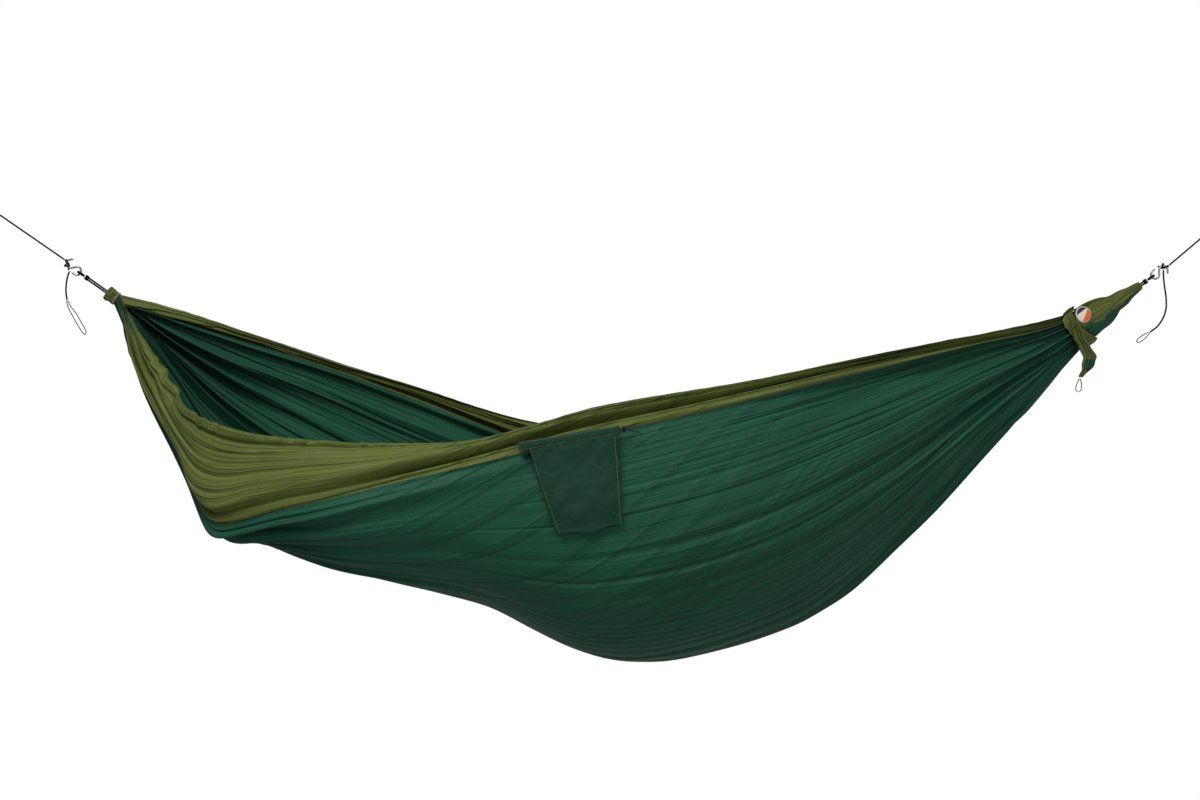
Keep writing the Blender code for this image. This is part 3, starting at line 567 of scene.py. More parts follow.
CORD = braid_finish("black_cord", (0.001, 0.0013, 0.002), (0.004, 0.005, 0.009), END_CORD)
for side, eye, channel, turn in SIDES:
    eye_cord = eye_ring(f"{side}_eye_cord", eye, hook_centre(eye, channel))
    finish_piece(eye_cord, "bed", "rope", f"{side}_loop_knot")
    end_cords(side, eye, channel)


# ---------------------------------------------------------------- bed cloth
# The bed is a sheet of thin nylon taffeta: a green centre with an olive band sewn on each side. Each
# end is drawn into a channel, so the cloth is pleated fine there and hangs in long soft folds between.
CLOTH_LENGTH = 3.2
CLOTH_WIDTH = 2.0
SIDE_WIDTH = 0.25
FAR_SEAM_V = CLOTH_WIDTH - SIDE_WIDTH
# guide rails, left to right, at these shares of the cloth's length
STATIONS = (0.06, 0.13, 0.20, 0.28, 0.40, 0.52, 0.64, 0.76, 0.87, 0.94)
NEAR_EDGE = (
    (0.447, -0.085, -0.377), (0.543, -0.170, -0.515), (0.700, -0.233, -0.582),
    (0.915, -0.268, -0.602), (1.230, -0.280, -0.590), (1.545, -0.273, -0.513),
    (1.865, -0.245, -0.459), (2.175, -0.188, -0.402), (2.450, -0.110, -0.350),
    (2.625, -0.058, -0.312),
)
NEAR_SEAM = (
    (0.426, -0.090, -0.427), (0.527, -0.143, -0.631), (0.622, -0.217, -0.786),
    (0.812, -0.288, -0.760), (1.140, -0.310, -0.682), (1.472, -0.302, -0.603),
    (1.800, -0.275, -0.528), (2.137, -0.205, -0.447), (2.430, -0.125, -0.376),
    (2.612, -0.070, -0.335),
)
KEEL = (
    (0.452, 0.010, -0.450), (0.568, 0.000, -0.640), (0.702, -0.020, -0.762),
    (0.905, -0.030, -0.884), (1.255, -0.010, -0.998), (1.585, 0.000, -1.143),
    (1.985, 0.015, -1.058), (2.264, 0.020, -0.854), (2.510, 0.010, -0.592),
    (2.655, 0.000, -0.430),
)
FAR_SEAM = (
    (0.500, 0.060, -0.305), (0.690, 0.120, -0.372), (0.865, 0.172, -0.430),
    (1.070, 0.225, -0.507), (1.360, 0.275, -0.617), (1.680, 0.300, -0.700),
    (2.000, 0.300, -0.750), (2.265, 0.240, -0.660), (2.475, 0.150, -0.500),
    (2.632, 0.074, -0.372),
)
FAR_EDGE = (
    (0.525, 0.055, -0.292), (0.697, 0.115, -0.350), (0.868, 0.165, -0.407),
    (1.066, 0.215, -0.468), (1.358, 0.262, -0.558), (1.665, 0.285, -0.604),
    (1.985, 0.280, -0.625), (2.260, 0.225, -0.540), (2.485, 0.135, -0.425),
    (2.640, 0.060, -0.335),
)
WALL_BULGE = 0.22
NEAR_SEAM_TUCK = 0.17
GATHER_RADIUS = 0.015
GATHER_OPENING = math.radians(20.0)
LEFT_PULL = unit(LEFT_CHANNEL - LEFT_EYE)
RIGHT_PULL = unit(RIGHT_EYE - RIGHT_CHANNEL)
CHANNEL_HALF = CHANNEL_LENGTH / 2 + GAP
RAIL_V = (0.0, SIDE_WIDTH, 0.6, 1.0, 1.4, CLOTH_WIDTH - SIDE_WIDTH, CLOTH_WIDTH)
# cut length of one fold, seed, squeeze where it starts, is full, and fades, share of the slack
FOLD_SETS = (
    (0.0310, 3, 2.2, 6.0, 99.0, 1.00),
    (0.0600, 5, 1.3, 2.1, 9.0, 1.00),
    (0.1050, 7, 1.1, 1.9, 4.5, 0.55),
    (0.2300, 9, 1.0, 1.3, 3.0, 0.30),
)
FOLD_SHARE = 1.10
FOLD_BIAS = 0.85
# spacing across the cloth, depth and seed of each family of pulled lines
CREASE_SETS = ((0.031, 0.0055, 51), (0.071, 0.0100, 61))
HEM_RUFFLE = 0.007
HEM_RUFFLE_REACH = 0.040
HEM_RUFFLE_PITCH = 0.024
BROAD_WAVE = 0.0030
STEP_U = 0.0015
STEP_V = 0.003


def nylon(name, dark, light, crumple=0.0016, pulled=1.0):
    """Thin taffeta: fine square weave, small crumples, a soft sheen, and painted shade that darkens the base
    colour along the pulled creases.
    """
    made = Finish(name, 0.52, Sheen_Weight=0.03, Sheen_Roughness=0.4, Specular_IOR_Level=0.14)
    weave = (made.along * (math.tau / 0.0008)).sin() * (made.across * (math.tau / 0.0008)).sin()
    small = made.noise(85.0, 4.0, made.uv)
    broad = made.noise(14.0, 3.0, made.uv)
    towards_ends = made.along.fade(1.25, 2.6).maximum(made.along.fade(1.3, 0.5))
    fan = made.along.fade(1.0, 1.3) * made.along.fade(2.7, 1.9) * made.across.fade(0.95, 0.7)
    creases = made.pulled_lines(0.016, 0.0, 3) * 0.8 + made.pulled_lines(0.042, 0.03, 9)
    creases = (creases * towards_ends + made.pulled_lines(0.050, 0.42, 5) * fan * 0.8) * pulled
    # Painted shade: the base colour, mottled at random, is darkened along the pulled creases where the bump
    # sinks.
    made.colour(dark, light, made.noise(5.0, 4.0, made.uv) * 0.7 + small * 0.4 - creases * 0.55)
    made.rough(small * 0.16 + 0.44)
    made.bump(weave * 0.02 + small * 0.30 + broad * 0.9 - creases * 1.6, crumple)
    return made.material


def gather_ring(centre, along, v, radius):
    """Points of the nearly closed ring that the gathered cloth makes, one for each v."""
    v = np.atleast_1d(v)
    up = np.array((-along[2], 0.0, along[0]))
    angle = -GATHER_OPENING / 2 - (math.tau - GATHER_OPENING) * v / CLOTH_WIDTH
    spoke = up * np.cos(angle)[:, None] + np.array((0.0, 1.0, 0.0)) * np.sin(angle)[:, None]
    return centre + spoke * np.broadcast_to(radius, v.shape)[:, None]


def walls(seam, keel):
    """Stations half way between a seam and the keel, bulged outwards."""
    seam = np.asarray(seam)
    keel = np.asarray(keel)
    chord = keel - seam
    outwards = np.stack((np.zeros(len(seam)), chord[:, 2], -chord[:, 1]), axis=-1)
    side = np.where(seam[:, 1] < 0.0, 1.0, -1.0)[:, None]
    return (seam + keel) / 2 + outwards * side * WALL_BULGE


def make_rails():
    left_end = LEFT_CHANNEL + LEFT_PULL * CHANNEL_HALF
    right_end = RIGHT_CHANNEL - RIGHT_PULL * CHANNEL_HALF
    inner = (NEAR_EDGE, NEAR_SEAM, walls(NEAR_SEAM, KEEL), KEEL, walls(FAR_SEAM, KEEL), FAR_SEAM, FAR_EDGE)
    rails = []
    for v, stations in zip(RAIL_V, inner):
        first = gather_ring(left_end, LEFT_PULL, v, GATHER_RADIUS)
        last = gather_ring(right_end, RIGHT_PULL, v, GATHER_RADIUS)
        rails.append(np.concatenate((first, np.asarray(stations), last)))
    return rails


RAILS = make_rails()
RAIL_U = (0.0, *STATIONS, 1.0)


def ramp(value, start, end):
    t = np.clip((value - start) / (end - start), 0.0, 1.0)
    return t * t * (3 - 2 * t)


def section_place(u, v):
    """Where v falls on a section: near the left gather the near seam is drawn under the bed."""
    middle = CLOTH_WIDTH / 2
    tuck = NEAR_SEAM_TUCK * ramp(u, 0.0, 0.06) * (1 - ramp(u, 0.14, 0.24))
    outer = v * (SIDE_WIDTH + tuck) / SIDE_WIDTH
    inner = middle - (middle - v) / (middle - SIDE_WIDTH) * (middle - SIDE_WIDTH - tuck)
    return np.where(v < SIDE_WIDTH, outer, np.where(v < middle, inner, v))


def bed_at(u, v):
    u, v = np.broadcast_arrays(np.asarray(u, dtype=float), np.asarray(v, dtype=float))
    section = np.stack([spline(rail, RAIL_U, u) for rail in RAILS])
    return spline(section, RAIL_V, section_place(u, v))


def soft_noise(values, spacing, seed):
    """Smooth random curve between -1 and 1 with a knot every spacing."""
    knots = np.random.default_rng(seed).uniform(-1.0, 1.0, 4096)
    at = values / spacing + 500.0
    low = np.floor(at).astype(int)
    t = at - low
    t = t * t * (3 - 2 * t)
    return knots[low % 4096] * (1 - t) + knots[(low + 1) % 4096] * t


def patchy_noise(u, v, spacing_u, spacing_v, seed):
    """Smooth random surface between -1 and 1."""
    knots = np.random.default_rng(seed).uniform(-1.0, 1.0, (128, 128))
    a = u / spacing_u + 20.0
    b = v / spacing_v + 20.0
    i = np.floor(a).astype(int)
    j = np.floor(b).astype(int)
    s = (a - i) ** 2 * (3 - 2 * (a - i))
    t = (b - j) ** 2 * (3 - 2 * (b - j))
    low = knots[i % 128, j % 128] * (1 - t) + knots[i % 128, (j + 1) % 128] * t
    high = knots[(i + 1) % 128, j % 128] * (1 - t) + knots[(i + 1) % 128, (j + 1) % 128] * t
    return low * (1 - s) + high * s


def fold_height_for(cut, squeeze):
    """Half height of a fold that takes up cut metres of cloth squeezed by that ratio."""
    spare = np.maximum((squeeze - 1) * (squeeze + 0.62), 0.0)
    return cut / (4 * squeeze) * np.sqrt(spare)


def fold_shape(phase):
    """Rounded crests and tighter valleys."""
    wave = np.sin(math.tau * phase)
    return wave + 0.22 * np.sin(2 * math.tau * phase + 1.2)


def creases(u, v):
    """Narrow straight lines, pulled out of both gathers, that die away towards the middle."""
    total = np.zeros_like(u)
    for spacing, depth, seed in CREASE_SETS:
        drift = 0.35 * patchy_noise(u, v, 0.6, 0.30, seed) + 1.6 * soft_noise(v, 0.17, seed + 1)
        phase = v / spacing + drift
        line = np.cos(math.pi * phase) ** 2
        number = np.round(phase)
        own = 0.62 + 0.6 * soft_noise(number, 1.0, seed + 2)
        reach = 0.44 + 0.22 * soft_noise(number + 0.5, 1.0, seed + 3)
        right = ramp(u, reach - 0.16, 0.86)
        left = ramp(1 - u, reach + 0.10, 0.90)
        total -= depth * own * line**6 * np.maximum(right, left)
    return total


def folds(u, v, squeeze):
    """Height of the cloth above the guide surface; the crests stay at the surface."""
    total = np.zeros_like(u)
    envelope = np.zeros_like(u)
    weight = np.full_like(u, 0.02)
    green = ramp(v, SIDE_WIDTH, 0.36) * ramp(CLOTH_WIDTH - v, SIDE_WIDTH, 0.5)
    belly = ramp(np.minimum(u, 1 - u), 0.14, 0.36) * green
    near = ramp(0.36 - v, 0.0, 0.11) * ramp(u, 0.34, 0.5)
    for cut, seed, start, full, fade, share in FOLD_SETS:
        present = ramp(squeeze, start, full) * (1 - ramp(squeeze, fade, fade * 1.6)) * share
        present = present * (1 - 0.55 * belly) * (1 - 0.30 * green) * (1 - 0.35 * near)
        drift = 0.30 * patchy_noise(u, v, 0.30, 0.28, seed) + 0.45 * soft_noise(v, cut * 2.3, seed + 1)
        uneven = 0.80 + 0.35 * patchy_noise(u, v, 0.20, cut * 1.5, seed + 2)
        height = fold_height_for(cut, squeeze) * present
        total += height * uneven * fold_shape(v / cut + drift)
        envelope += height**2
        weight += present**2
    scale = FOLD_SHARE / np.sqrt(np.maximum(weight, 1.0))
    total = total * scale - FOLD_BIAS * np.sqrt(envelope) * scale
    total += creases(u, v)
    end = np.minimum(u, 1 - u)
    edge = np.minimum(v, CLOTH_WIDTH - v)
    place = ramp(u, 0.04, 0.10) * (1 - ramp(u, 0.24, 0.36)) * (v < CLOTH_WIDTH / 2) + 0.12
    ruffle = np.exp(-((edge / HEM_RUFFLE_REACH) ** 2)) * ramp(end, 0.0, 0.05) * place
    total += HEM_RUFFLE * ruffle * np.sin(math.tau * u / HEM_RUFFLE_PITCH + 4.5 * soft_noise(u, 0.03, 31))
    broad = patchy_noise(u, v, 0.055, 0.21, 41) + 0.5 * patchy_noise(u + 0.3 * v, v, 0.03, 0.1, 43)
    total += BROAD_WAVE * broad * ramp(end, 0.02, 0.12)
    return total


def cloth_at(u, v, lift=0.0):
    """A point of the folded cloth, lifted outwards by a distance."""
    u = np.asarray(u, dtype=float)
    v = np.asarray(v, dtype=float)
    low_u = np.clip(u, STEP_U, 1 - STEP_U)
    low_v = np.clip(v, STEP_V, CLOTH_WIDTH - STEP_V)
    along = bed_at(low_u + STEP_U, low_v) - bed_at(low_u - STEP_U, low_v)
    across = bed_at(low_u, low_v + STEP_V) - bed_at(low_u, low_v - STEP_V)
    squeeze = 2 * STEP_V / np.maximum(np.linalg.norm(across, axis=1), 1e-6)
    outwards = np.cross(across, along)
    outwards /= np.linalg.norm(outwards, axis=1)[:, None]
    height = folds(u, v, np.clip(squeeze, 1.0, 24.0))
    return bed_at(u, v) + outwards * (height + lift)[:, None]


def row_shares(count):
    """Shares of the length, closer together towards both gathers."""
    at = np.linspace(0.0, 1.0, count)
    return at - 0.55 * np.sin(math.tau * at) / math.tau


def cloth_grid(u, v, lift=0.0):
    across, along = np.meshgrid(v, u)
    points = cloth_at(along.reshape(-1), across.reshape(-1), np.broadcast_to(lift, along.shape).reshape(-1))
    uv = np.stack((along * CLOTH_LENGTH, across), axis=-1)
    return points.reshape(len(u), len(v), 3), uv


def panel(name, v_from, v_to, columns, material, rows=250):
    points, uv = cloth_grid(row_shares(rows), np.linspace(v_from, v_to, columns))
    return grid_mesh(name, points[:, ::-1], uv[:, ::-1], material)


FOREST = nylon("forest_nylon", (0.0065, 0.052, 0.027), (0.0115, 0.084, 0.046))
OLIVE = nylon("olive_nylon", (0.072, 0.095, 0.018), (0.118, 0.145, 0.034))
green = panel("green_centre", SIDE_WIDTH, FAR_SEAM_V, 520, FOREST, rows=185)
finish_piece(green, "bed", "forest_nylon", "centre_panel")
near_band = panel("near_band", 0.0, SIDE_WIDTH, 80, OLIVE)
finish_piece(near_band, "bed", "olive_nylon", "near_side_panel")
far_band = panel("far_band", FAR_SEAM_V, CLOTH_WIDTH, 80, OLIVE)
finish_piece(far_band, "bed", "olive_nylon", "far_side_panel")


# ---------------------------------------------------------------- seams, hems and their stitches
# Each side band is joined to the centre by a folded, twice-stitched seam. The free edges are rolled
# over to the outside and sewn down with one row of olive thread.
SEAM_HALF = 0.0055
SEAM_HEIGHT = 0.0011
HEM_WIDTH = 0.012
EDGE_ROWS = 420


def thread_finish(name, dark, light):
    made = Finish(name, 0.6, Sheen_Weight=0.2)
    fibres = made.noise(2500.0)
    made.colour(dark, light, fibres)
    made.bump(fibres, 0.0001)
    return made.material


def felled_seam(name, v):
    """The folded seam: a low strip with rounded shoulders on the outside of the cloth."""
    offsets = np.array((-1.0, -0.92, -0.45, 0.0, 0.45, 0.92, 1.0)) * SEAM_HALF
    lifts = np.array((0.0, 0.8, 1.0, 0.72, 1.0, 0.8, 0.0)) * SEAM_HEIGHT
    points, uv = cloth_grid(row_shares(EDGE_ROWS), v + offsets, lifts[None, :])
    return grid_mesh(name, points[:, ::-1], uv[:, ::-1], OLIVE)


def hem(name, edge_v, inwards):
    """The rolled edge: cloth turned over to the outside, with its fold just past the edge."""
    offsets = np.array((0.0, -0.0006, -0.0004, 0.3, 0.94, 1.0)) * np.array((1, 1, 1, *[HEM_WIDTH] * 3))
    lifts = np.array((-0.0002, 0.0004, 0.0011, 0.0012, 0.0010, 0.0001))
    points, uv = cloth_grid(row_shares(EDGE_ROWS), edge_v + inwards * offsets, lifts[None, :])
    if inwards > 0:
        points = points[:, ::-1]
        uv = uv[:, ::-1]
    return grid_mesh(name, points, uv, OLIVE)


def stitch_group(pitch, length, thick):
    """Geometry Nodes: one short thread capsule for every pitch along each curve."""
    group = bpy.data.node_groups.new("stitches", "GeometryNodeTree")
    group.interface.new_socket("Geometry", in_out="INPUT", socket_type="NodeSocketGeometry")
    group.interface.new_socket("Thread", in_out="INPUT", socket_type="NodeSocketMaterial")
    group.interface.new_socket("Geometry", in_out="OUTPUT", socket_type="NodeSocketGeometry")
    nodes = group.nodes
    start = nodes.new("NodeGroupInput")
    end = nodes.new("NodeGroupOutput")
    spaced = nodes.new("GeometryNodeResampleCurve")
    spaced.mode = "LENGTH"
    spaced.inputs["Length"].default_value = pitch
    shape = nodes.new("GeometryNodeMeshUVSphere")
    shape.inputs["Segments"].default_value = 6
    shape.inputs["Rings"].default_value = 4
    shape.inputs["Radius"].default_value = 1.0
    place = nodes.new("GeometryNodeInstanceOnPoints")
    place.inputs["Scale"].default_value = (thick, thick, length / 2)
    turn = nodes.new("FunctionNodeAlignRotationToVector")
    turn.axis = "Z"
    tangent = nodes.new("GeometryNodeInputTangent")
    solid = nodes.new("GeometryNodeRealizeInstances")
    paint = nodes.new("GeometryNodeSetMaterial")
    smooth = nodes.new("GeometryNodeSetShadeSmooth")
    for source, target in (
        (start.outputs[0], spaced.inputs["Curve"]), (spaced.outputs[0], place.inputs["Points"]),
        (shape.outputs["Mesh"], place.inputs["Instance"]), (tangent.outputs[0], turn.inputs["Vector"]),
        (turn.outputs[0], place.inputs["Rotation"]), (place.outputs[0], solid.inputs[0]),
        (solid.outputs[0], smooth.inputs[0]), (smooth.outputs[0], paint.inputs[0]),
        (start.outputs["Thread"], paint.inputs["Material"]), (paint.outputs[0], end.inputs[0]),
    ):
        group.links.new(source, target)
    return group


def stitches(name, routes, group, thread, body, closed=False):
    """Rows of stitches along routes, made a plain mesh."""
    curve = bpy.data.curves.new(name, "CURVE")
    curve.dimensions = "3D"
    for route in routes:
        line = curve.splines.new("POLY")
        line.points.add(len(route) - 1)
        line.use_cyclic_u = closed
        flat = np.concatenate((np.asarray(route), np.ones((len(route), 1))), axis=1)
        line.points.foreach_set("co", flat.reshape(-1).astype("f"))
    source = bpy.data.objects.new(name + "_route", curve)
    bpy.context.scene.collection.objects.link(source)
    nodes = source.modifiers.new("stitches", "NODES")
    nodes.node_group = group
    nodes["Socket_1"] = thread
    bpy.context.view_layer.update()
    depsgraph = bpy.context.evaluated_depsgraph_get()
    mesh = bpy.data.meshes.new_from_object(source.evaluated_get(depsgraph))
    bpy.data.objects.remove(source)
    made = bpy.data.objects.new(name, mesh)
    bpy.context.scene.collection.objects.link(made)
    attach(made, body)
    return made


def cloth_route(v, lift, count=700):
    """A line along the cloth, lifted off it."""
    u = row_shares(count)
    return cloth_at(u, np.full(count, v), np.full(count, lift))


OLIVE_THREAD = thread_finish("olive_thread", (0.10, 0.12, 0.035), (0.17, 0.20, 0.07))
SEAM_STITCH = stitch_group(pitch=0.0045, length=0.0034, thick=0.00035)
finish_piece(felled_seam("near_fell", SIDE_WIDTH), "bed", "olive_nylon", "near_seam")
finish_piece(felled_seam("far_fell", FAR_SEAM_V), "bed", "olive_nylon", "far_seam")
near_hem = finish_piece(hem("near_hem", 0.0, 1.0), "bed", "olive_nylon")
far_hem = finish_piece(hem("far_hem", CLOTH_WIDTH, -1.0), "bed", "olive_nylon")
stitches(
    "seam_stitches",
    [cloth_route(v + side * 0.0040, 0.0013) for v in (SIDE_WIDTH, FAR_SEAM_V) for side in (-1, 1)],
    SEAM_STITCH, OLIVE_THREAD, "bed",
)
stitches(
    "hem_stitches", [cloth_route(v, 0.0014) for v in (0.0098, CLOTH_WIDTH - 0.0098)],
    SEAM_STITCH, OLIVE_THREAD, "bed",
)


# ---------------------------------------------------------------- gathered ends
# The sewn channels: short drums of gathered cloth, ruched by three rows of bold pale stitches, with
# the end cord's two strands in their bores.
CHANNEL_RADIUS = 0.017
CHANNEL_PLEATS = 23
STITCH_RING = 0.0166


def drum(name, centre, along):
    """A ruched drum; its profile runs out of the bore, over the rim and back to the far rim."""
    half = CHANNEL_LENGTH / 2
    profile = np.array((
        (half - 0.006, 0.0056), (half - 0.001, 0.0066), (half + 0.0012, 0.0105), (half - 0.0008, 0.0145),
        (half - 0.0040, 0.0160), (half * 0.35, 0.0152), (0.0, 0.0148), (-half * 0.35, 0.0156),
        (-half + 0.003, 0.0170), (-half, 0.0170), (-half - 0.006, 0.0165),
    ))
    fine = even_profile(profile, 46)
    angle = np.arange(276) * math.tau / 276
    wave = soft_noise(angle * 7.0, 1.0, 61)
    depth = 0.0017 * ramp(fine[:, 1], 0.006, 0.014)
    drift = 1.1 * soft_noise(angle * 3.0, 1.0, 63)[None, :]
    pleat = np.abs(np.sin(CHANNEL_PLEATS * angle[None, :] / 2 + drift))
    twist = 0.0006 * np.sin(5 * angle[None, :] + fine[:, :1] * 400)
    reach = fine[:, 1:] + depth[:, None] * (pleat - 0.6) + twist * (depth[:, None] > 0.0008)
    reach = reach + 0.0007 * wave[None, :] * (depth[:, None] > 0.0008)
    up = np.array((-along[2], 0.0, along[0]))
    spoke = up * np.cos(angle)[:, None] + np.array((0.0, 1.0, 0.0)) * np.sin(angle)[:, None]
    points = centre + spoke[None] * reach[..., None] - along * fine[:, :1][:, :, None]
    uv = np.stack(np.broadcast_arrays(fine[:, :1], angle[None, :] * 0.05), axis=-1)
    return grid_mesh(name, points, uv, OLIVE, closed=True)


def even_profile(profile, count):
    knots = lengths_of(profile)
    at = np.linspace(0.0, knots[-1], count)
    flat = np.concatenate((profile, np.zeros((len(profile), 1))), axis=1)
    return spline(flat, knots, at)[:, :2]


def ring_route(centre, along, radius, offset, wobble):
    up = np.array((-along[2], 0.0, along[0]))
    angle = np.linspace(0.0, math.tau, 120, endpoint=False)
    spoke = up * np.cos(angle)[:, None] + np.array((0.0, 1.0, 0.0)) * np.sin(angle)[:, None]
    shift = offset + wobble * np.sin(9 * angle + 1.0)
    return centre + spoke * radius + along * shift[:, None]


def end_channel(side, centre, away):
    along = -away
    made = drum(f"{side}_gathered_channel", centre, along)
    finish_piece(made, "bed", "olive_nylon", f"{side}_end_channel")
    rings = [ring_route(centre, along, STITCH_RING, offset, 0.0004) for offset in (-0.0072, -0.0094, 0.0080)]
    stitches(f"{side}_channel_stitches", rings, BOLD_STITCH, PALE_THREAD, "bed", closed=True)


PALE_THREAD = thread_finish("pale_thread", (0.35, 0.34, 0.27), (0.62, 0.60, 0.50))
BOLD_STITCH = stitch_group(pitch=0.0046, length=0.0036, thick=0.00055)
end_channel("left", LEFT_CHANNEL, LEFT_PULL)
end_channel("right", RIGHT_CHANNEL, -RIGHT_PULL)


# ---------------------------------------------------------------- end wrap
# Loose cloth gathered over the right end: an olive cone lined with green, and the thick twisted band
# that ties it down on the bed.
TWIST_U = 0.948
TWIST_SLANT = 0.014
TWIST_SPAN = 0.010
WRAP_TIP_LENGTH = 0.050
WRAP_TIP_RADIUS = 0.0085
WRAP_CLEAR = 0.0047
WRAP_FULLNESS = 0.005
CROWN_LIFT = 1.5
WRAP_COLUMNS = 40
LINING_SHARE = 0.27


def wrap_line(v, shift):
    return TWIST_U + TWIST_SLANT * np.sin(math.pi * v / CLOTH_WIDTH) ** 2 + shift


def wrap_u(v, share):
    start = wrap_line(v, TWIST_SPAN + 0.0012)
    return start + (1.0 - start) * share


def plain_bed(u, v, lift):
    """The guide surface without its folds, lifted outwards."""
    along = bed_at(np.clip(u + STEP_U, 0, 1), v) - bed_at(u - STEP_U, v)
    low_v = np.clip(v, STEP_V, CLOTH_WIDTH - STEP_V)
    across = bed_at(u, low_v + STEP_V) - bed_at(u, low_v - STEP_V)
    outwards = np.cross(across, along)
    outwards /= np.linalg.norm(outwards, axis=1)[:, None]
    return bed_at(u, v) + outwards * lift


def wrapped_ring(u_at, lift):
    v = CLOTH_WIDTH * (np.arange(WRAP_COLUMNS) + 0.5) / WRAP_COLUMNS
    points = plain_bed(u_at(v), v, lift)
    middle = points.mean(axis=0)
    crown = []
    for edge in (CLOTH_WIDTH, 0.0):
        rim = bed_at(np.atleast_1d(u_at(np.array([edge]))), np.array([edge]))[0]
        crown.append(rim + unit(rim - middle) * CROWN_LIFT * lift)
    return np.concatenate((points, crown))


def spline_rows(wrapped, places, spot):
    """All rings' points at one place round the ring."""
    return spline(wrapped.transpose(1, 0, 2), places, np.full(len(wrapped), spot))


def refine(rings, rows, columns):
    """Many rows and columns through a coarse stack of closed rings."""
    rings = np.asarray(rings)
    count = rings.shape[1]
    wrapped = np.concatenate((rings[:, -2:], rings, rings[:, :3]), axis=1)
    places = np.arange(-2, count + 3)
    at = np.linspace(0.0, count, columns, endpoint=False)
    across = np.stack([spline_rows(wrapped, places, spot) for spot in at], axis=1)
    mean = across.mean(axis=1)
    knots = lengths_of(mean)
    levels = np.linspace(0.0, knots[-1], rows)
    flat = across.reshape(len(rings), -1)
    out = np.stack([np.interp(levels, knots, flat[:, k]) for k in range(flat.shape[1])], axis=1)
    return out.reshape(rows, columns, 3)


def outward_of(points):
    """Directions away from each row's middle."""
    away = points - points.mean(axis=1, keepdims=True)
    return away / np.linalg.norm(away, axis=2, keepdims=True)


def ring_uv(points):
    rows, columns = points.shape[:2]
    mean_round = np.linalg.norm(np.roll(points, -1, axis=1) - points, axis=2).sum(axis=1).mean()
    along = lengths_of(points.mean(axis=1))
    across = np.arange(columns) / columns * mean_round
    return np.stack(np.broadcast_arrays(along[:, None], across[None, :]), axis=-1)


def paint_faces(piece, chosen):
    """Give the second material to the faces whose first corner is chosen."""
    flags = chosen.reshape(-1)
    for face in piece.data.polygons:
        face.material_index = int(flags[face.vertices[0]])


def end_wrap():
    rings = []
    for share in np.linspace(0.0, 1.0, 8):
        lift = WRAP_CLEAR + WRAP_FULLNESS * math.sin(math.pi * share)
        rings.append(wrapped_ring(lambda v, at=share: wrap_u(v, at), lift))
    middles = CLOTH_WIDTH * (np.arange(WRAP_COLUMNS) + 0.5) / WRAP_COLUMNS
    places = np.concatenate((middles, (CLOTH_WIDTH, 0.0)))
    front = CHANNEL_LENGTH / 2
    for distance, radius in (
        (front, CHANNEL_RADIUS + 0.0016), (front + WRAP_TIP_LENGTH / 2, 0.0128),
        (front + WRAP_TIP_LENGTH * 0.9, 0.0098), (front + WRAP_TIP_LENGTH, WRAP_TIP_RADIUS),
    ):
        rings.append(gather_ring(RIGHT_CHANNEL + RIGHT_PULL * distance, RIGHT_PULL, places, radius))
    points = refine(rings, 120, 300)
    share = np.linspace(0.0, 1.0, 120)[:, None]
    turn = np.arange(300)[None, :] / 300
    share, turn = np.broadcast_arrays(share, turn)
    deep = 0.0030 * np.sin(math.pi * share) ** 0.5 + 0.0006
    spiral = turn - 0.30 * share + 0.05 * patchy_noise(share, turn, 0.2, 0.1, 71)
    fold = np.abs(np.sin(math.tau * 2.5 * spiral)) ** 0.6 - 0.62
    wander = patchy_noise(share, turn, 0.45, 0.12, 72)
    crease = 0.20 * np.sin(math.tau * (5 * turn + 2.2 * share) + 3 * wander) * (0.6 + wander)
    points = points + outward_of(points) * (deep * (fold + crease))[..., None]
    cone = grid_mesh("wrap_cone", points[:, ::-1], ring_uv(points)[:, ::-1], OLIVE, closed=True)
    cone.data.materials.append(FOREST)
    ragged = LINING_SHARE + 0.05 * np.sin(math.tau * share * 3) + 0.015 * np.sin(math.tau * share * 9 + 1)
    height = points[..., 2]
    depth = (height.max(axis=1, keepdims=True) - height) / np.ptp(height, axis=1)[:, None]
    lining = (depth > 1.0 - ragged) & (share < 0.93)
    paint_faces(cone, lining[:, ::-1])
    return cone


def end_twist():
    """A thick band twisted like a rope of cloth round the bed."""
    rings = [
        wrapped_ring(lambda v, by=shift: wrap_line(v, by), WRAP_CLEAR + 0.0005) for shift in (0.0, TWIST_SPAN)
    ]
    low, high = (refine([ring, ring + 1e-6 * RIGHT_PULL], 2, 420)[0] for ring in rings)
    middle = (low + high) / 2
    half = np.linalg.norm(high - low, axis=1).mean() / 2
    along = unit((high - low).mean(axis=0))
    away = outward_of(middle[None])[0]
    angle = np.arange(28) * math.tau / 28
    turn = np.arange(420) / 420
    fold = np.abs(np.sin(2.5 * angle[:, None] - math.tau * 7 * turn[None, :])) ** 0.7
    bulge = 0.80 + 0.30 * fold + 0.08 * soft_noise(turn * 30, 1.0, 75)[None, :]
    flat = np.sin(angle)[:, None, None] * away * 0.0042 * bulge[..., None]
    wide = np.cos(angle)[:, None, None] * along * half * bulge[..., None]
    points = middle[None] + wide + flat + away[None] * 0.0012
    points = np.concatenate((points, points[:1])).transpose(1, 0, 2)
    points = np.concatenate((points, points[:1]))
    run = lengths_of(points[:, 0])
    uv = np.stack(np.broadcast_arrays(run[:, None], (np.arange(29) / 28 * 0.06)[None, :]), axis=-1)
    return grid_mesh("wrap_twist", points, uv, OLIVE), middle


finish_piece(end_wrap(), "bed", "olive_nylon", "end_wrap_cone")
twist, twist_middle = end_twist()
finish_piece(twist, "bed", "olive_nylon", "end_wrap_twist")


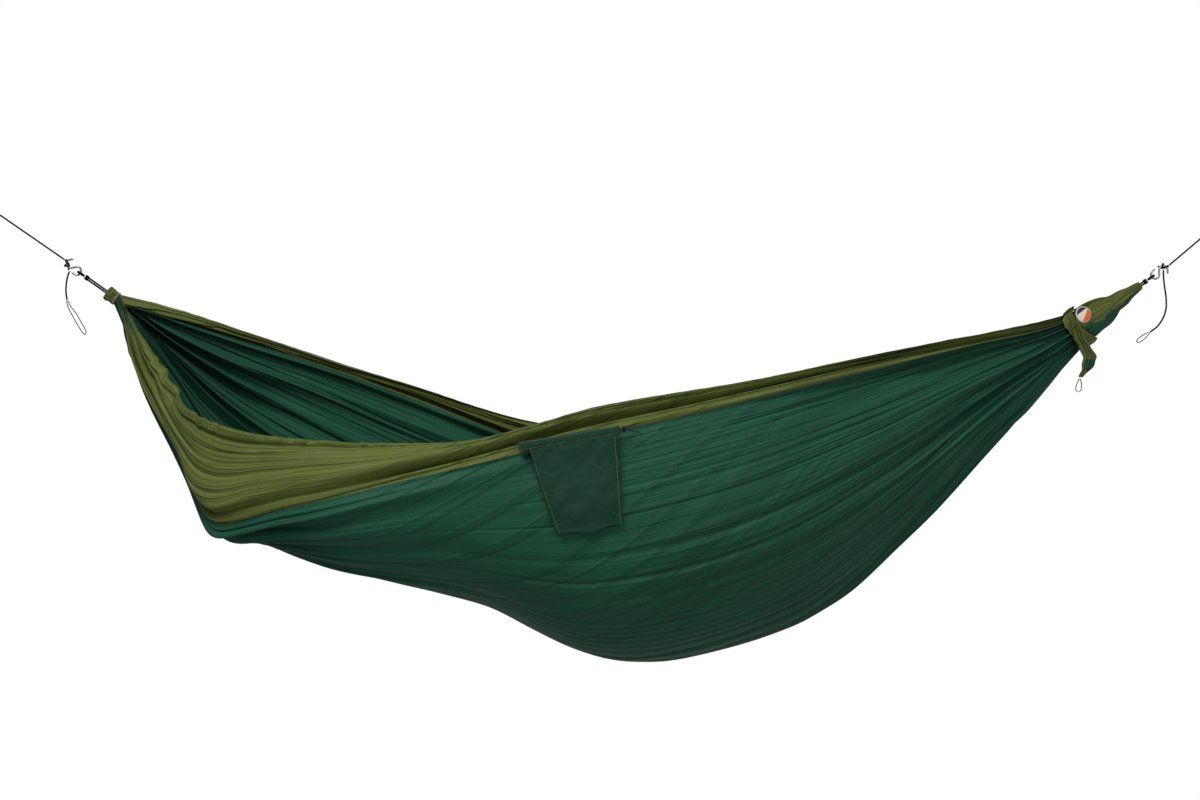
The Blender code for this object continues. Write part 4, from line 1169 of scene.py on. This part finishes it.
# ---------------------------------------------------------------- flap and webbing loop
# The tied band's loose corner hangs down the near side, bends and ends in a point, green on its turned
# side. A flat woven loop is sewn into the point.
FLAP_LENGTH = 0.142
FLAP_DOWN = (0.0, 0.36, 0.68, 0.84, 1.0)
FLAP_MIDDLE_X = (-0.004, 0.013, 0.035, 0.029, 0.014)
FLAP_HALF = (0.012, 0.0155, 0.0165, 0.0125, 0.0040)
FLAP_GREEN_FROM = 0.026
LOOP_MOUTH = 0.16
LOOP_FALL = 0.034
LOOP_WIDTH = 0.0048
LOOP_THICK = 0.0006


def spline_at(knots, values, where):
    """A smooth value at each place between the knots."""
    flat = np.asarray(where).reshape(-1)
    return spline(np.array(values)[:, None], knots, flat).reshape(np.shape(where))


def flap(middle):
    """The loose corner, hanging in narrow folds with a dark green facing along one edge."""
    near = middle[np.argmin(middle[:, 1])]
    top = near + np.array((0.0136, -0.0030, 0.006))
    rows, columns = 150, 90
    down = np.linspace(0.0, 1.0, rows)[:, None]
    side = np.linspace(-1.0, 1.0, columns)[None, :]
    middle_x = spline_at(FLAP_DOWN, FLAP_MIDDLE_X, down)
    half = spline_at(FLAP_DOWN, FLAP_HALF, down)
    uneven = patchy_noise(down + 0 * side, side + 0 * down, 0.4, 0.7, 81)
    fold = np.sin(math.tau * (1.7 * side + 0.5 * down) + 1.6 * uneven)
    depth = 0.0036 * ramp(down, 0.0, 0.15) * (1 - 0.4 * down) * fold
    x = top[0] + middle_x + side * half + 0.0012 * np.sin(math.tau * down * 5 + side)
    y = top[1] - 0.0015 - depth
    z = top[2] - FLAP_LENGTH * down - 0.010 * (side * 0.5) * (1 - down)
    points = np.stack(np.broadcast_arrays(x, y, z), axis=-1)
    uv = np.stack(np.broadcast_arrays(down * 0.08, side * 0.03), axis=-1)
    body = grid_mesh("wrap_flap", points, uv, OLIVE)
    body.data.materials.append(FOREST)
    solid = body.modifiers.new("wall", "SOLIDIFY")
    solid.thickness = 0.0006
    for face in body.data.polygons:
        centre = face.center
        below_bend = top[2] - centre.z > 0.70 * FLAP_LENGTH
        face.material_index = int(below_bend and centre.x - top[0] > FLAP_GREEN_FROM)
    tip = points[-1, columns // 3]
    return body, tip


def webbing_finish():
    made = Finish("webbing", 0.6, Sheen_Weight=0.2)
    rib = (made.along * (math.tau / 0.0011)).sin()
    stripe = made.across.math("ABSOLUTE").math("LESS_THAN", 0.0016)
    made.colour((0.075, 0.006, 0.008), (0.50, 0.48, 0.44), stripe)
    made.bump(rib * 0.5 + made.noise(900.0), 0.0003)
    return made.material


def webbing_loop(tip):
    """A flat woven loop, sewn into the flap's tip."""
    count = 60
    angle = LOOP_MOUTH + (math.tau - 2 * LOOP_MOUTH) * np.linspace(0.0, 1.0, count)
    fall = LOOP_FALL * np.sin(angle / 2)
    middle = tip + np.stack((0.0068 * np.sin(angle) - 0.12 * fall, 0 * angle, -fall - 0.0008), axis=-1)
    tangent = np.gradient(middle, axis=0)
    tangent /= np.linalg.norm(tangent, axis=1)[:, None]
    out = np.cross(tangent, ACROSS)
    edge = ((-1, -1), (-0.96, 0), (-1, 1), (0, 1.0), (1, 1), (0.96, 0), (1, -1), (0, -1), (-1, -1))
    profile = np.array(edge)
    points = (
        middle[:, None] + ACROSS * profile[None, :, :1] * LOOP_WIDTH
        + out[:, None] * profile[None, :, 1:] * LOOP_THICK
    )
    run = lengths_of(middle)
    uv = np.stack(np.broadcast_arrays(run[:, None], (profile[:, 0] * LOOP_WIDTH)[None, :]), axis=-1)
    return grid_mesh("webbing_eye", points, uv, webbing_finish())


flap_piece, flap_tip = flap(twist_middle)
finish_piece(flap_piece, "bed", "olive_nylon", "end_wrap_flap")
finish_piece(webbing_loop(flap_tip), "webbing_loop", "trim", "webbing_loop")


# ---------------------------------------------------------------- round patch
# A woven disc with three plain fields inside a pale overlocked rim, sewn on the near side of the cone.
PATCH_RADIUS = 0.0200
PATCH_V = 0.27
PATCH_U = wrap_u(PATCH_V, 0.17)
PATCH_LIFT = WRAP_CLEAR + WRAP_FULLNESS + 0.0028
PATCH_CENTRE = plain_bed(np.array([PATCH_U]), np.array([PATCH_V]), PATCH_LIFT)[0]
PATCH_NORMAL = unit(PATCH_CENTRE - plain_bed(np.array([PATCH_U]), np.array([PATCH_V]), 0.0)[0])
PATCH_ALONG = unit(RIGHT_PULL - PATCH_NORMAL * RIGHT_PULL.dot(PATCH_NORMAL))


def patch_finish():
    """Three plain bands inside a pale rim."""
    made = Finish("patch_cloth", 0.62, Sheen_Weight=0.2)
    threads = (made.across * (math.tau / 0.0008)).sin()
    upper = made.across.math("GREATER_THAN", 0.008)
    lower = (made.across + made.along * -0.6).math("LESS_THAN", -0.005)
    ground = made.mix((0.80, 0.68, 0.50), (0.006, 0.010, 0.055), upper)
    made.colour(ground, (0.82, 0.12, 0.012), lower)
    made.bump(threads * 0.6 + made.noise(900.0), 0.0003)
    return made.material


def disc_on_wrap(name, radius, rings, lift, crown, material, centre_hole=0.0):
    """A thin round piece laid on the wrap's near side."""
    angle = np.arange(64) * math.tau / 64
    reach = np.linspace(centre_hole, radius, rings)
    height = lift + crown * np.sqrt(np.clip(1 - ((reach - centre_hole) / (radius - centre_hole)) ** 4, 0, 1))
    side = np.cross(PATCH_NORMAL, PATCH_ALONG)
    flat = PATCH_ALONG * np.cos(angle)[:, None] + side * np.sin(angle)[:, None]
    bend = (np.sin(angle)[None, :] * reach[:, None]) ** 2 * 9.0
    raised = PATCH_NORMAL * (height[:, None] - bend)[..., None]
    points = PATCH_CENTRE + flat[None] * reach[:, None, None] + raised
    x = reach[:, None] * np.cos(angle)[None, :]
    y = reach[:, None] * np.sin(angle)[None, :]
    points = np.concatenate((points, points[:, :1]), axis=1)
    uv = np.stack((x, y), axis=-1)
    uv = np.concatenate((uv, uv[:, :1]), axis=1)
    return grid_mesh(name, points, uv, material)


patch = disc_on_wrap("patch_ground", PATCH_RADIUS - 0.001, 12, 0.0, 0.0009, patch_finish())
rim = disc_on_wrap("patch_rim", PATCH_RADIUS, 8, -0.0002, 0.0016, PALE_THREAD, PATCH_RADIUS - 0.0024)
finish_piece(patch, "bed", "trim", "round_patch")
finish_piece(rim, "bed", "trim")


# ---------------------------------------------------------------- stuff sack
# A thin crinkled pouch under a ruched casing, sewn to the bed along its top and stitched in gold
# thread down its sides.
SACK_TOP = np.array((1.4625, -0.3095, -0.5875))
SACK_LEAN = 0.0322
SACK_SLOPE = math.radians(9.6)
SACK_ALONG = np.array((math.cos(SACK_SLOPE), 0.0, math.sin(SACK_SLOPE)))
SACK_DOWN = np.array((math.sin(SACK_SLOPE), 0.0, -math.cos(SACK_SLOPE)))
CASING_HALF = 0.117
CASING_HEIGHT = 0.020
CASING_BACK = 0.0031
CASING_FRONT = 0.0151
POUCH_TOP = 0.021
POUCH_LENGTH = 0.208
POUCH_MOUTH = (-0.095, 0.108)
POUCH_BOTTOM = (-0.061, 0.088)
POUCH_DEPTH = 0.018


def on_sack(along, down, out):
    along, down, out = np.broadcast_arrays(along, down, out)
    spot = SACK_TOP + SACK_ALONG * along[..., None] + SACK_DOWN * down[..., None]
    spot[..., 1] += SACK_LEAN * down - out
    return spot


def sack_pouch():
    rows, columns = 150, 300
    level = np.linspace(0.0, 1.0, rows)[:, None]
    turn = np.arange(columns)[None, :] / columns
    angle = turn * math.tau
    left = POUCH_MOUTH[0] + (POUCH_BOTTOM[0] - POUCH_MOUTH[0]) * level**1.15
    right = POUCH_MOUTH[1] + (POUCH_BOTTOM[1] - POUCH_MOUTH[1]) * level**1.3
    wide = np.sign(np.cos(angle)) * np.abs(np.cos(angle)) ** 0.5
    deep = np.sign(np.sin(angle)) * np.abs(np.sin(angle)) ** 0.5
    full = 1 - 0.72 * ramp(level, 0.72, 1.0) - 0.25 * ramp(level, 0.0, 0.25) * (1 - ramp(level, 0.25, 0.6))
    along = (left + right) / 2 + (right - left) / 2 * wide
    along = along + 0.0025 * np.sin(level * 21 + wide) * np.abs(wide) ** 6
    drop = POUCH_LENGTH * level + 0.004 * level**6 * np.sin(along * 55 + 0.8)
    edge = np.abs(wide) ** 8
    pucker = np.sin(along * 420 + 3 * soft_noise(along, 0.02, 91)) * np.exp(-level * 9)
    crumple = patchy_noise(along + 0.35 * drop, drop, 0.020, 0.034, 92)
    small = patchy_noise(along - 0.5 * drop, drop + 0.4 * along, 0.009, 0.014, 93)
    ridge = np.abs(patchy_noise(along * 1.0 + drop * 0.8, drop, 0.035, 0.06, 94))
    rough = (0.0009 * pucker + 0.0016 * crumple + 0.0007 * small - 0.0022 * ridge) * (1 - edge)
    out = POUCH_DEPTH / 2 * (1 + full * deep) + rough * np.sign(deep) + 0.001 * np.sign(deep)
    points = on_sack(along, POUCH_TOP + drop, out)
    centre = points[-1].mean(axis=0)
    closing = [points[-1] + (centre - points[-1]) * share for share in (0.35, 0.75, 1.0)]
    points = np.concatenate((points, np.stack(closing)))
    across = np.broadcast_to(turn * 0.42, (rows, columns))
    uv = np.stack((np.broadcast_to(POUCH_LENGTH * level, (rows, columns)), across), axis=-1)
    uv = np.concatenate((uv, np.repeat(uv[-1:], 3, axis=0)))
    piece = grid_mesh("pouch_cloth", points, uv, SACK_CLOTH, closed=True)
    wall = piece.modifiers.new("wall", "SOLIDIFY")
    wall.thickness = 0.0006
    return piece


def casing(name, middle):
    rows, columns = 260, 40
    at = np.linspace(-1.0, 1.0, rows)[:, None]
    angle = np.arange(columns)[None, :] / columns * math.tau
    along = at * CASING_HALF
    gather = 0.0007 * np.sin(along * 900 + 4 * soft_noise(along, 0.012, 95))
    sag = 0.0012 * soft_noise(along, 0.035, 96)
    down = CASING_HEIGHT / 2 * (1 + np.cos(angle)) + sag + 0 * along
    out = middle + (0.0026 + gather * np.abs(np.sin(angle))) * np.sin(angle) * (1 + 0.25 * np.sin(angle * 2))
    points = on_sack(along + 0.0012 * np.sin(angle * 2), down, out)
    uv = np.stack(np.broadcast_arrays(along, angle * 0.0075), axis=-1)
    piece = grid_mesh(name, points[:, ::-1], uv[:, ::-1], SACK_CLOTH, closed=True)
    wall = piece.modifiers.new("wall", "SOLIDIFY")
    wall.thickness = 0.0005
    return piece


def sack_routes():
    """Rows of thread: below the casing, and down both sides."""
    along = np.linspace(-0.112, 0.112, 80)
    rows = [on_sack(along, down, CASING_FRONT + out) for down, out in ((0.0188, 0.0022), (0.0030, 0.0018))]
    level = np.linspace(0.02, 0.97, 90)
    for top, foot, inset in zip(POUCH_MOUTH, POUCH_BOTTOM, (0.004, -0.004)):
        line = top + (foot - top) * level**1.2 + inset
        out = POUCH_DEPTH * (0.93 - 0.25 * ramp(level, 0.72, 1.0)) + 0.0006
        rows.append(on_sack(line, POUCH_TOP + POUCH_LENGTH * level, out))
    return rows


SACK_CLOTH = nylon("sack_nylon", (0.0036, 0.027, 0.015), (0.0072, 0.046, 0.026), 0.0042, pulled=0.0)
GOLD_THREAD = thread_finish("gold_thread", (0.22, 0.22, 0.05), (0.36, 0.35, 0.10))
finish_piece(sack_pouch(), "sack", "forest_nylon", "sack_pouch")
finish_piece(casing("casing_back_cloth", CASING_BACK), "sack", "forest_nylon", "sack_casing_back")
finish_piece(casing("casing_front_cloth", CASING_FRONT), "sack", "forest_nylon", "sack_casing_front")
stitches("sack_stitches", sack_routes(), SEAM_STITCH, GOLD_THREAD, "sack")


# ---------------------------------------------------------------- drawcord
# Two strands of thin navy cord in the casing halves, joined by a pulled knot at the right with two
# short cut tails. Pulling the knot draws the sack shut.
DRAWCORD = 0.0025
DRAWCORD_INSIDE = 0.090
DRAWCORD_SHOWING = 0.006
DRAWCORD_KNOT = 0.0082
DRAWCORD_KNOT_AT = 0.0058
DRAWCORD_TAILS_AT = 0.0118
DRAWCORD_TAIL = 0.0305
DRAWCORD_TAIL_APART = 0.0035


def drawcords():
    middle = CASING_HEIGHT / 2
    between = (CASING_FRONT + CASING_BACK) / 2
    end = CASING_HALF + DRAWCORD_SHOWING
    for name, node, out in (
        ("draw_front", "drawcord", CASING_FRONT), ("draw_back", "drawcord_second", CASING_BACK),
    ):
        route = [on_sack(along, middle, out) for along in np.linspace(CASING_HALF - DRAWCORD_INSIDE, end, 6)]
        finish_piece(cord_piece(name, route, DRAWCORD, NAVY), "drawcord", "rope", node)
    centre = on_sack(end + DRAWCORD_KNOT_AT, middle, between)
    knot = tight_knot("draw_knot", centre, SACK_ALONG, DRAWCORD_KNOT, DRAWCORD, NAVY)
    finish_piece(knot, "drawcord", "rope", "drawcord_knot")
    for node, name, lean, drop in (
        ("drawcord_tail", "draw_tail_upper", -1, 0.1), ("drawcord_tail_second", "draw_tail_lower", 1, 0.4),
    ):
        route = []
        for i in range(7):
            out = DRAWCORD_TAIL * i / 6
            down = middle + lean * DRAWCORD_TAIL_APART + lean * drop * out
            route.append(on_sack(end + DRAWCORD_TAILS_AT + out, down, between))
        declare_cord(node, name, route, DRAWCORD, "drawcord")


drawcords()
